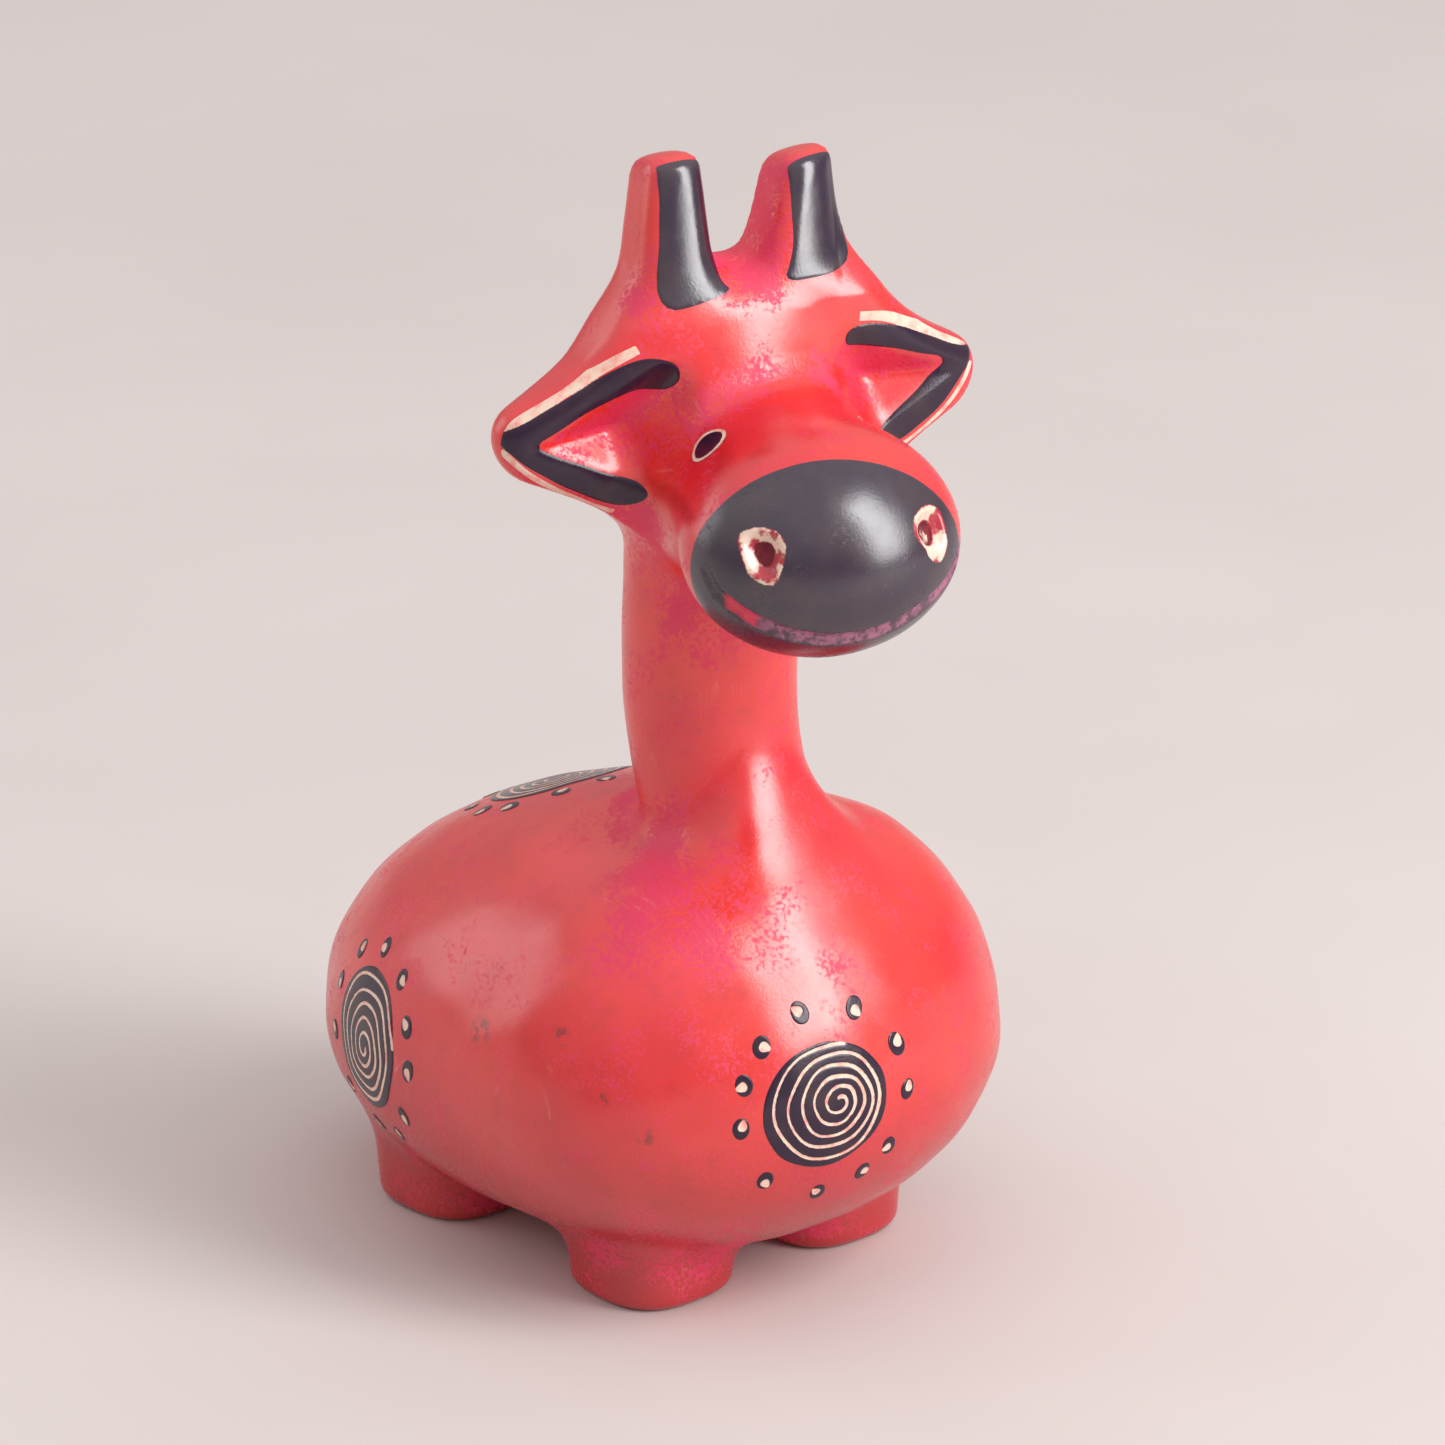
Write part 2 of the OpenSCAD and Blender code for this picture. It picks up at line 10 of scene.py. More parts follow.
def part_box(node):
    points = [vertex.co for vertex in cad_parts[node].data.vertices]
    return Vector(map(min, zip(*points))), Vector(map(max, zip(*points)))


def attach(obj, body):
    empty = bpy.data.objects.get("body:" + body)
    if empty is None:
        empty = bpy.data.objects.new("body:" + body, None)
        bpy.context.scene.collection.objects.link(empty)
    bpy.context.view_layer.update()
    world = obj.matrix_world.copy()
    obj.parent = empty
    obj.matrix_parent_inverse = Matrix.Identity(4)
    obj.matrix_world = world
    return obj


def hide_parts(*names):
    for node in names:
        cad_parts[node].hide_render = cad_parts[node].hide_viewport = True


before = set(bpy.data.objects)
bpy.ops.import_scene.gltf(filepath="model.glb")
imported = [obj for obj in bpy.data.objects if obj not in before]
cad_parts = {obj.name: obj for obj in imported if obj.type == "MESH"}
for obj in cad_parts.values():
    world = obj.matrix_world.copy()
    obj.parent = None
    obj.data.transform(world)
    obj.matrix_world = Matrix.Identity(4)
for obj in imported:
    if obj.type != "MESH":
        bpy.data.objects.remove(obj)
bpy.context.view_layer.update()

# Shapes are worked out in millimetres from the ground point between the four feet.
# The figure faces -Y and its own right side is -X.
MM = 0.001
FEET = ("front_right_foot", "front_left_foot", "rear_right_foot", "rear_left_foot")


def node_middle(node):
    low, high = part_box(node)
    return (np.array(low) + np.array(high)) / 2 / MM


FOOT_MIDS = {node: node_middle(node) for node in FEET}
GROUND = np.mean(list(FOOT_MIDS.values()), axis=0) * (1, 1, 0)


def to_frame(points):
    return (np.asarray(points, float) + GROUND) * MM


def from_frame(points):
    return np.asarray(points, float) / MM - GROUND


# Distance fields: negative inside the stone, positive outside
FAR = 99.0


def turned(axis, degrees):
    return np.array(Matrix.Rotation(math.radians(degrees), 3, axis))


def length(v):
    return np.sqrt((v * v).sum(axis=1))


def step(low, high, x):
    t = np.clip((x - low) / (high - low), 0, 1)
    return t * t * (3 - 2 * t)


def blend(a, b, width):
    """The union of two forms with a fillet of about this width."""
    h = np.maximum(width - np.abs(a - b), 0) / width
    return np.minimum(a, b) - h * h * width / 4


def within(a, b, width):
    """What two forms share, with rounded edges."""
    return -blend(-a, -b, width)


def carved(a, tool, width):
    """A form with another taken out of it, with rounded edges."""
    return within(a, -tool, width)


def pebble(p, middle, radii):
    q = (p - middle) / radii
    k = length(q)
    return k * (k - 1) / np.maximum(length(q / radii), 1e-6)


def taper(p, start, end, start_r, end_r):
    """A round bar from one ball to another."""
    start, end = np.asarray(start, float), np.asarray(end, float)
    along = end - start
    run = along @ along
    fall = start_r - end_r
    slant = run - fall * fall
    a = p - start
    y = a @ along
    z = y - run
    x2 = ((a * run - np.outer(y, along)) ** 2).sum(axis=1)
    y2 = y * y * run
    z2 = z * z * run
    k = np.sign(fall) * fall * fall * x2
    side = (np.sqrt(x2 * slant / run) + y * fall) / run - start_r
    side = np.where(np.sign(y) * slant * y2 < k, np.sqrt(x2 + y2) / run - start_r, side)
    return np.where(np.sign(z) * slant * z2 > k, np.sqrt(x2 + z2) / run - end_r, side)


def bars(p, stations, width):
    """Bars through a row of (point, radius) stations."""
    form = None
    for (a, ra), (b, rb) in zip(stations[:-1], stations[1:]):
        bar = taper(p, a, b, ra, rb)
        form = bar if form is None else blend(form, bar, width)
    return form


# Body: an egg with its own radius towards each side
BODY_MID = np.array([0, -11.4, 19.2])
BODY_LOW_RADII = np.array([25.5, 21.0, 16.5])
BODY_HIGH_RADII = np.array([25.5, 43.7, 22.9])
BODY_POWER = 2.08
BODY_TURN = turned("X", -7.5)


def body_form(p):
    q = (p - BODY_MID) @ BODY_TURN
    radii = np.where(q > 0, BODY_HIGH_RADII, BODY_LOW_RADII)
    t = np.abs(q) / radii
    k = np.maximum((t**BODY_POWER).sum(axis=1) ** (1 / BODY_POWER), 1e-6)
    pull = length(t ** (BODY_POWER - 1) / radii) * k ** (1 - BODY_POWER)
    return (k - 1) / np.maximum(pull, 1e-4)


# Neck: a bowed column that spreads over the chest in front, with a dip in the shoulder beside its root
NECK_HEIGHTS = (33, 38, 43.5, 49, 56, 63, 70)
NECK_MIDDLES = (-14.2, -12.9, -11.0, -9.5, -9.4, -10.0, -10.8)
NECK_RADII = (8.0, 7.6, 7.4, 7.4, 7.55, 7.7, 8.1)
NECK_TOP = 75.0
NECK_TOP_EDGE = 3.0
EASING = np.linspace(-3, 3, 7)
ROOT_TIGHT = 2.4
ROOT_SPREAD = 5.6
ROOT_TURNS = (25, 90)
ROOT_Y = -12.0
DIPS = (((-8.5, -7.5, 40.0), 1.5), ((8.5, -7.5, 40.0), 0.8))
DIP_REACH = (7.0, 6.0, 9.0)


def eased(z, heights, values):
    """Values between stations, evened out over a few millimetres."""
    return np.mean([np.interp(z + d, heights, values) for d in EASING], axis=0)


def neck_form(p):
    middle = eased(p[:, 2], NECK_HEIGHTS, NECK_MIDDLES)
    column = np.hypot(p[:, 0], p[:, 1] - middle) - eased(p[:, 2], NECK_HEIGHTS, NECK_RADII)
    return within(column, p[:, 2] - NECK_TOP, NECK_TOP_EDGE)


def rooted(p, body, neck):
    """The body and the neck joined: a broad fillet in front, a tighter one elsewhere."""
    turn = np.degrees(np.abs(np.arctan2(p[:, 0], ROOT_Y - p[:, 1])))
    for middle, depth in DIPS:
        body = body + depth * np.exp(-(((p - middle) / DIP_REACH) ** 2).sum(axis=1))
    return blend(body, neck, ROOT_TIGHT + ROOT_SPREAD * (1 - step(*ROOT_TURNS, turn)))


# Feet: stubs of rounded square section with rounded soles
FOOT_R = 6.3
FOOT_POWER = 2.7
FOOT_SPREAD = 0.07
FOOT_EDGE = 1.2
FOOT_TOP = 10.0
FOOT_BLEND = 2.4


def foot_form(p, node):
    q = p + GROUND - FOOT_MIDS[node] * (1, 1, 0)
    wide = (np.abs(q[:, :2]) ** FOOT_POWER).sum(axis=1) ** (1 / FOOT_POWER)
    across = wide - FOOT_R - FOOT_SPREAD * np.maximum(q[:, 2], 0) + FOOT_EDGE
    up = np.abs(q[:, 2] - FOOT_TOP / 2) - FOOT_TOP / 2 + FOOT_EDGE
    outside = np.hypot(np.maximum(across, 0), np.maximum(up, 0))
    return np.minimum(np.maximum(across, up), 0) + outside - FOOT_EDGE


# Head: its own frame, with the muzzle towards -Y and the horns towards +Z
HEAD_MID = np.array([0, -12.9, 78.6])
HEAD_TURN = turned("Z", -18) @ turned("Y", -1.3)
PLATE_Y = 0.6
HORN_TOPS = {-1: 23.8, 1: 22.3}
HORN_TOP_SLOPE = 0.3
HORN_TIP_X = {-1: 5.4, 1: 6.9}
HORN_ROOTS = {-1: (6.0, 4.1), 1: (5.3, 4.7)}
HORN_FOOT = 9.0
HORN_LEAN = 0.16
HORN_TAPER = 0.13
HORN_BULGE = 0.056
BULGE_X = {-1: -5.9, 1: 4.0}
LEAN_ASIDE = 0.45
LEAN_DOWN = 0.44
HORN_TIP_R = 2.45
HORN_TIP_OVER = 0.55
HORN_TIP_EDGE = 1.6
HORN_ROOT_Z = 6.5
HORN_WEB = 2.2
CROWN = ((0, 0, 0), (0, 0, 3), 10.0, 8.0)
CROWN_BLEND = 2.0
PLATE_HALF = 4.1
PLATE_THINNING = 2.1
THIN_FROM = 8
THIN_OVER = 14
THIN_POWER = 1.2
BULGE_MOST = 1.2
BULGE_RISE = (0, 4)
PLATE_EDGE = 1.0
OUTLINE_EDGE = 2.3
HORN_TOP_EDGE = 1.7
EAR_UPPER = ((8.5, 1.0, 7.0), (19.4, 0.2, 2.4))
EAR_LOWER = ((9.0, -1.5, 6.8), (18.2, -1.0, 3.2))
EAR_BLEND = 2.0
EAR_LIFT = {-1: 0.0, 1: 0.7}
EAR_SWEEP = {-1: 7.0, 1: 9.0}
EAR_TIP = np.array([19.7, -1.9, -0.3])
EAR_VALLEY = np.array([10.2, 0.4, -0.2])
EAR_BROW = np.array([10.2, -3.4, 4.6])
EAR_CHEEK = np.array([10.2, -3.4, -4.7])
EAR_OPENING = np.array([12.0, -8.0, 0.0])
EAR_SLOPE_RUN = np.array([-3.2, -4.2, 0])
VALLEY_EDGE = 0.9
SLOPE_EDGE = 2.5
SNOUT = ((0, -3.0, -4.0), (0, -15.8, -6.6), 7.4, 8.6)
SNOUT_WIDE = (1.16, 1, 1)
MUZZLE_MID = (0, -16.9, -6.9)
MUZZLE_RADII = np.array([11.6, 9.8, 8.5])
MUZZLE_TURN = turned("X", 20)
MUZZLE_BLEND = 4.0
JAW = ((0, 1.0, -5.2), (0, -12.0, -8.6), 9.6, 6.6)
JAW_WIDE = (1.2, 1, 1)
JAW_BLEND = 3.0
SKULL_MID = np.array([-2.2, 1.5, 1.0])
SKULL_RADII = np.array([10.5, 7.4, 11.0])
SKULL_BLEND = 3.0
HOLLOW_EDGE = 0.6
SNOUT_BLEND = 2.0


def in_head(p):
    return (p - HEAD_MID) @ HEAD_TURN


def out_of_head(q):
    return np.asarray(q, float) @ HEAD_TURN.T + HEAD_MID


def upright_horns(q):
    """Points moved to where they would be if the horns stood straight up."""
    over = q[:, 2] - HORN_FOOT
    lean = HORN_LEAN * (np.sqrt(over * over + 1) + over) / 2
    return q - np.outer(lean, (LEAN_ASIDE, 1.0, -LEAN_DOWN))


def horn_outline(flat, side):
    root_x, root_r = HORN_ROOTS[side]
    root = (side * root_x, 0, HORN_ROOT_Z)
    tip = (side * HORN_TIP_X[side], 0, HORN_TOPS[side] - HORN_TIP_R + HORN_TIP_OVER)
    bar = taper(flat, root, tip, root_r, HORN_TIP_R)
    return within(bar, flat[:, 2] - HORN_TOPS[side], HORN_TIP_EDGE)


def ear_bar(flat, side, ends, lift):
    """A bar from the head towards the ear's tip, given by two ends of (x, z, radius)."""
    (x0, z0, r0), (x1, z1, r1) = ends
    return taper(flat, (side * x0, 0, z0 + lift), (side * x1, 0, z1), r0, r1)


def ear_outline(flat, side):
    upper = ear_bar(flat, side, EAR_UPPER, EAR_LIFT[side])
    lower = ear_bar(flat, side, EAR_LOWER, 0.0)
    return blend(upper, lower, EAR_BLEND)


def plate_outline(flat):
    """Outline, seen from the front, of both horns, both ears and the sweep between them."""
    outline = blend(horn_outline(flat, -1), horn_outline(flat, 1), HORN_WEB)
    outline = blend(outline, taper(flat, *CROWN), CROWN_BLEND)
    for side in (-1, 1):
        outline = blend(outline, ear_outline(flat, side), EAR_SWEEP[side])
    return outline


def plate_form(q):
    """The flat part of the head."""
    q = upright_horns(q)
    outline = plate_outline(q * (1, 0, 1))
    thinning = np.clip((np.abs(q[:, 0]) - THIN_FROM) / THIN_OVER, 0, 1) ** THIN_POWER
    half = PLATE_HALF - PLATE_THINNING * thinning
    right = q[:, 0] < 0
    over = np.maximum(q[:, 2] - HORN_FOOT, 0)
    bulge = HORN_BULGE * (q[:, 0] - np.where(right, BULGE_X[-1], BULGE_X[1])) ** 2
    bulge = np.minimum(bulge, BULGE_MOST) * step(*BULGE_RISE, over)
    front = PLATE_Y - half + HORN_TAPER * over + bulge
    slab = within(front - q[:, 1], q[:, 1] - PLATE_Y - half, PLATE_EDGE)
    tops = np.where(right, HORN_TOPS[-1], HORN_TOPS[1])
    slant = (q[:, 2] - tops + HORN_TOP_SLOPE * (q[:, 1] - front)) / math.hypot(1, HORN_TOP_SLOPE)
    return within(within(outline, slab, OUTLINE_EDGE), slant, HORN_TOP_EDGE)


def wall(q, a, b, c, inner):
    """Distance behind the plane through three points, seen from a point in the hollow."""
    a, b, c = (np.asarray(shaded_corner, float) for shaded_corner in (a, b, c))
    across = unit(np.cross(b - a, c - a))
    across *= -np.sign((np.asarray(inner, float) - a) @ across)
    return (q - a) @ across


def ear_hollow(q, side):
    """A wedge cut out of the ear: an upper wall, a lower wall and a slope towards the cheek."""
    mirrored = q * (side, 1, 1) - (0, 0, EAR_LIFT[side])
    upper = wall(mirrored, EAR_TIP, EAR_VALLEY, EAR_BROW, EAR_OPENING)
    lower = wall(mirrored, EAR_TIP, EAR_VALLEY, EAR_CHEEK, EAR_OPENING)
    end = wall(mirrored, EAR_VALLEY, EAR_VALLEY + (0, 0, 1), EAR_VALLEY + EAR_SLOPE_RUN, EAR_OPENING)
    return within(within(upper, lower, VALLEY_EDGE), end, SLOPE_EDGE)


def snout_form(q):
    snout = taper(q / SNOUT_WIDE, *SNOUT)
    muzzle = pebble((q - MUZZLE_MID) @ MUZZLE_TURN, (0, 0, 0), MUZZLE_RADII)
    jaw = taper(q / JAW_WIDE, *JAW)
    return blend(blend(snout, muzzle, MUZZLE_BLEND), jaw, JAW_BLEND)


def plain_head_form(q):
    skull = pebble(q, SKULL_MID, SKULL_RADII)
    form = blend(skull, plate_form(q), SKULL_BLEND)
    for side in (-1, 1):
        form = carved(form, ear_hollow(q, side), HOLLOW_EDGE)
    return blend(form, snout_form(q), SNOUT_BLEND)


def slope(p, form, reach=0.05):
    """The direction in which a form's distance grows, from four points round each one."""
    corners = np.array([(1, -1, -1), (-1, -1, 1), (-1, 1, -1), (1, 1, 1)]) * reach
    return sum(np.outer(form(p + shaded_corner), shaded_corner) for shaded_corner in corners) / (4 * reach * reach)


def unit(v):
    return v / np.maximum(np.linalg.norm(v, axis=-1, keepdims=True), 1e-9)


def settled(p, form, turns=6, stride=0.8):
    """Points moved onto a form's surface."""
    p = np.array(p, float)
    for _ in range(turns):
        g = slope(p, form)
        pace = np.clip(form(p) / np.maximum((g * g).sum(axis=1), 0.05), -stride, stride)
        p -= g * pace[:, None]
    return p


# Nostrils drilled with a countersink, and a mouth cut across the front of the muzzle
NOSTRILS = settled([(-8.2, -23.2, -4.2), (6.8, -24.4, -4.5)], plain_head_form)
NOSTRIL_AXES = unit(slope(NOSTRILS, plain_head_form))
NOSTRIL_R = 0.8
NOSTRIL_DEPTH = 3.0
SINK_R = 2.1
SINK_DEPTH = 1.0
DRILL_OVAL = 0.12
DRILL_LOBES = 0.09
DRILL_EDGE = 0.2
MOUTH_POINTS = (
    (-11.3, -19.2, -6.6),
    (-10.9, -20.2, -8.2),
    (-9.4, -22.1, -9.8),
    (-6.5, -23.8, -11.4),
    (-2.9, -24.8, -12.3),
    (1.0, -25.2, -12.2),
    (4.5, -25.0, -11.4),
    (8.0, -23.6, -9.9),
    (10.6, -20.9, -7.7),
)
MOUTH = settled(MOUTH_POINTS, plain_head_form)
MOUTH_R = 0.82
MOUTH_THINNING = 0.28
MOUTH_BLEND = 0.2
MOUTH_NEAR = 0.3
LIP_EDGE = 0.4
MOUTH_LIFT = 0.42
# Painted shade: beyond this x, at its right-hand end, the mouth groove is painted dark.
MOUTH_SHADE_X = -10.4
LIP_FADE = (-10.0, -6.0)
MOUTH_LINE = MOUTH + MOUTH_LIFT * unit(slope(MOUTH, plain_head_form))


def drill_place(q, middle, axis):
    """Height along a drilling and distance from its middle line, as an unsteady hand leaves it."""
    away = q - middle
    h = away @ axis
    across = away - np.outer(h, axis)
    turn = np.arctan2(across[:, 2], across[:, 0])
    uneven = 1 + DRILL_OVAL * np.sin(2 * turn + 1.0) + DRILL_LOBES * np.sin(3 * turn + axis[0] * 5)
    return h, length(across) * uneven


def drilled_form(q, middle, axis):
    h, r = drill_place(q, middle, axis)
    hole = np.maximum(r - NOSTRIL_R, -h - NOSTRIL_DEPTH)
    flare = (SINK_R - NOSTRIL_R) / SINK_DEPTH
    sink = np.maximum((r - SINK_R - flare * h) / math.hypot(1, flare), -h - SINK_DEPTH)
    return np.minimum(hole, sink)


def mouth_form(q):
    along = np.linspace(-1, 1, len(MOUTH))
    radii = MOUTH_R * (1 - MOUTH_THINNING * along * along)
    return bars(q, list(zip(MOUTH_LINE, radii)), MOUTH_BLEND)


def drilled_head_form(q):
    form = plain_head_form(q)
    for middle, axis in zip(NOSTRILS, NOSTRIL_AXES):
        form = carved(form, drilled_form(q, middle, axis), DRILL_EDGE)
    return form


def head_form(q):
    return carved(drilled_head_form(q), mouth_form(q), LIP_EDGE)


# The whole figure; heights between which each part of it has to be worked out
BODY_BELOW = 62
NECK_ABOVE = 24
FEET_BELOW = 14
HEAD_ABOVE = 54
HEAD_BLEND = 2.2
WAVER_BROAD = 0.05
WAVER_FINE = 0.03
WAVER_RISE = (1.5, 4.0)
CALM_SHARE = 0.6
CALM_RISE = (38, 44)


def trunk_form(p):
    """Body, neck and feet; each is worked out only at the heights that it reaches."""
    form = np.full(len(p), FAR)
    low = p[:, 2] < BODY_BELOW
    form[low] = body_form(p[low])
    high = p[:, 2] > NECK_ABOVE
    form[high] = rooted(p[high], form[high], neck_form(p[high]))
    ground = p[:, 2] < FEET_BELOW
    for node in FEET:
        form[ground] = blend(form[ground], foot_form(p[ground], node), FOOT_BLEND)
    return form


def waver(p):
    """Slight hand-worked unevenness of the surface."""
    x, y, z = p.T
    broad = WAVER_BROAD * np.sin(0.55 * x + 0.4 * z) * np.sin(0.5 * y - 0.3 * x + 1.0)
    return broad + WAVER_FINE * np.sin(0.9 * z + 0.7 * y)


def stone_form(p, head=head_form):
    """The whole figure."""
    form = trunk_form(p)
    z = p[:, 2]
    top = z > HEAD_ABOVE
    form[top] = blend(form[top], head(in_head(p[top])), HEAD_BLEND)
    return form + waver(p) * step(*WAVER_RISE, z) * (1 - CALM_SHARE * step(*CALM_RISE, z))


# The stone as one even skin
STONE = (
    "body", "neck", "head", "muzzle", "right_horn", "left_horn", "right_ear", "left_ear",
) + FEET
GRID = 0.5
SWELL = 0.35
DOUBLES = 1e-6
DETAIL_MARGIN = {"mouth": 0.8, "nostril": 0.9}
SMOOTH_SHARE = 0.5
FIRST_TURNS = 6
EVEN_ROUNDS = 3
EVEN_TURNS = 3
SPLITS = 2
SPLIT_TURNS = 2
LAST_TURNS = 8


def link(name, mesh):
    piece = bpy.data.objects.new(name, mesh)
    bpy.context.scene.collection.objects.link(piece)
    return piece


def positions(mesh):
    co = np.empty(len(mesh.vertices) * 3)
    mesh.vertices.foreach_get("co", co)
    return co.reshape(-1, 3)


def rough_skin():
    """Copies of the carved regions, swollen until they overlap and remeshed as one skin."""
    bm = bmesh.new()
    for node in STONE:
        region = bmesh.new()
        region.from_mesh(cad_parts[node].data)
        bmesh.ops.remove_doubles(region, verts=region.verts, dist=DOUBLES)
        region.normal_update()
        for v in region.verts:
            v.co += v.normal * SWELL * MM
        part = bpy.data.meshes.new("region")
        region.to_mesh(part)
        region.free()
        bm.from_mesh(part)
    mesh = bpy.data.meshes.new("rough_skin")
    bm.to_mesh(mesh)
    bm.free()
    rough = link("rough_skin", mesh)
    even = rough.modifiers.new("even", "REMESH")
    even.mode = "VOXEL"
    even.voxel_size = GRID * MM
    skin = bpy.data.meshes.new_from_object(rough.evaluated_get(bpy.context.evaluated_depsgraph_get()))
    bpy.data.objects.remove(rough)
    return skin


def near_detail(p):
    """Where the skin needs finer squares: nostrils and mouth."""
    q = in_head(p)
    near = mouth_form(q) < DETAIL_MARGIN["mouth"]
    for middle in NOSTRILS:
        near |= length(q - middle) < SINK_R + DETAIL_MARGIN["nostril"]
    return near


def before_mouth(p):
    """The whole figure without its mouth."""
    return stone_form(p, drilled_head_form)


def settle_mesh(bm, turns, form=stone_form):
    points = settled(from_frame([v.co for v in bm.verts]), form, turns)
    for v, point in zip(bm.verts, to_frame(points)):
        v.co = point


def even_out(bm):
    every_axis = {"use_axis_x": True, "use_axis_y": True, "use_axis_z": True}
    for _ in range(EVEN_ROUNDS):
        bmesh.ops.smooth_vert(bm, verts=bm.verts, factor=SMOOTH_SHARE, **every_axis)
        settle_mesh(bm, EVEN_TURNS, before_mouth)


def stone_skin():
    """One even skin on the form; the mouth is pressed in last, where the squares are finest."""
    bm = bmesh.new()
    bm.from_mesh(rough_skin())
    settle_mesh(bm, FIRST_TURNS, before_mouth)
    even_out(bm)
    for _ in range(SPLITS):
        near = near_detail(from_frame([v.co for v in bm.verts]))
        bm.verts.index_update()
        edges = [e for e in bm.edges if near[e.verts[0].index] and near[e.verts[1].index]]
        bmesh.ops.subdivide_edges(bm, edges=edges, cuts=1, use_grid_fill=True)
        settle_mesh(bm, SPLIT_TURNS, before_mouth)
    settle_mesh(bm, LAST_TURNS)
    bmesh.ops.recalc_face_normals(bm, faces=bm.faces)
    return bm


# Cuts between the regions, each a plane given by a point and a direction
NECK_CUT = (np.array([0, 0, 43.6]), np.array([0, 0, 1.0]))
HEAD_CUT = (np.array([0, -19.0, 63.6]), unit(np.array([0, -0.25, 1.0])))
MUZZLE_CUT = (np.array([0, -19.2, 0]), unit(np.array([-0.21, -1.0, -0.12])))
HORN_CUT_TILT = math.radians(20)
HORN_CUT_X = 6.0
HORN_CUT_Z = 12.0
EAR_CUT_X = 11.7
EAR_FRONT_Y = -8
FOOT_CUT_START = 4.0
FOOT_CUT_DROP = 1.3
FOOT_NEAR = FOOT_R + 4
CUT_ABOVE = {"neck": 40, "head": 50, "ear": -15, "horn": 8}
MUZZLE_CUT_FRONT = -10
HORN_CUT_INSIDE = -1
CUT_BAND = 2.0
CUT_WELD = 1e-7


def side_of(p, cut):
    return (p - cut[0]) @ cut[1]


def horn_cut(side):
    up = np.array([side * math.sin(HORN_CUT_TILT), 0, math.cos(HORN_CUT_TILT)])
    return np.array([side * HORN_CUT_X, 0, HORN_CUT_Z]), up


def ear_cut(side):
    return np.array([side * EAR_CUT_X, 0, 0]), np.array([side * 1.0, 0, 0])


def foot_cut(node):
    """A plane just below the belly, where the foot meets it."""
    axis_point = FOOT_MIDS[node] * (1, 1, 0) - GROUND
    top = settled([axis_point + (0, 0, FOOT_CUT_START)], body_form)[0]
    down = unit(slope(top[None], body_form))[0]
    return top + down * FOOT_CUT_DROP, down


def head_to_frame(cut):
    return out_of_head(cut[0]), cut[1] @ HEAD_TURN.T


def near_foot(p, node):
    return np.hypot(*(p + GROUND - FOOT_MIDS[node])[:, :2].T) < FOOT_NEAR


def region_of(p):
    """The number in STONE of the region that holds each point."""
    q = in_head(p)
    region = np.full(len(p), STONE.index("body"))
    region[side_of(p, NECK_CUT) > 0] = STONE.index("neck")
    head = side_of(p, HEAD_CUT) > 0
    region[head] = STONE.index("head")
    region[head & (side_of(q, MUZZLE_CUT) > 0)] = STONE.index("muzzle")
    for side, word in ((-1, "right"), (1, "left")):
        ear = head & (side_of(q, ear_cut(side)) > 0) & (q[:, 1] > EAR_FRONT_Y)
        horn = head & (side_of(q, horn_cut(side)) > 0) & (q[:, 0] * side > 0)
        region[ear] = STONE.index(word + "_ear")
        region[horn] = STONE.index(word + "_horn")
    for node in FEET:
        region[near_foot(p, node) & (side_of(p, foot_cut(node)) > 0)] = STONE.index(node)
    return region


def cut_regions(bm):
    """Edges along every cut, made only where that cut applies."""
    def slice_plane(cut, wanted):
        p = from_frame([f.calc_center_median() for f in bm.faces])
        keep = wanted(p, in_head(p)) & (np.abs(side_of(p, cut)) < CUT_BAND)
        faces = [f for f, k in zip(bm.faces, keep) if k]
        geom = set(faces)
        for f in faces:
            geom.update(f.edges)
            geom.update(f.verts)
        place, across = Vector(to_frame(cut[0])), Vector(cut[1])
        bmesh.ops.bisect_plane(bm, geom=list(geom), dist=CUT_WELD, plane_co=place, plane_no=across)

    def ear_side(p, q):
        return (q[:, 1] > EAR_FRONT_Y) & (q[:, 2] > CUT_ABOVE["ear"])

    def horn_side(p, q):
        return (q[:, 0] * side > HORN_CUT_INSIDE) & (q[:, 2] > CUT_ABOVE["horn"])

    slice_plane(NECK_CUT, lambda p, q: p[:, 2] > CUT_ABOVE["neck"])
    slice_plane(HEAD_CUT, lambda p, q: p[:, 2] > CUT_ABOVE["head"])
    slice_plane(head_to_frame(MUZZLE_CUT), lambda p, q: q[:, 1] < MUZZLE_CUT_FRONT)
    for side in (-1, 1):
        slice_plane(head_to_frame(ear_cut(side)), ear_side)
        slice_plane(head_to_frame(horn_cut(side)), horn_side)
    for node in FEET:
        slice_plane(foot_cut(node), lambda p, q: near_foot(p, node))


# Colour guides kept on the skin: dye left in hollows, rubbed lips, dark paint and bare stone.
# A spot is a middle, a radius and a strength; a smudge is a middle and a radius.
MUZZLE_EDGE = (np.array([0, -20.4, 0]), unit(np.array([-0.21, -1.0, -0.12])))
DYE_SPOTS = (
    ((-8.6, -12.6, 41.3), 3.0, 1.3),
    ((-11.5, -13.8, 39.6), 3.4, 1.2),
    ((-13.0, -18.0, 37.0), 6.2, 0.85),
    ((-11.5, -22.5, 35.5), 3.2, 0.8),
    ((-3.0, -28.0, 33.0), 2.2, 0.42),
    ((-9.0, -20.8, 5.5), 3.8, 1.0),
    ((-17.0, -14.0, 4.8), 2.2, 0.7),
)
HEAD_DYE_SPOTS = (
    ((-6.6, -3.2, -17.5), 4.5, 0.75),
    ((-9.5, -3.8, -10.0), 2.5, 0.8),
    ((1.2, -1.2, 12.3), 3.2, 1.2),
    ((3.6, 1.5, 15.5), 2.8, 1.3),
    ((4.6, 1.5, 19.0), 2.6, 1.2),
    ((-9.2, -1.5, 12.2), 2.8, 0.8),
)
BROW = (
    (-8.0, -4.5, 1.5), (-6.0, -5.0, 2.8), (-3.4, -5.6, 4.0),
    (0, -5.9, 4.6), (3.8, -5.4, 3.9), (7.0, -4.6, 1.8),
)
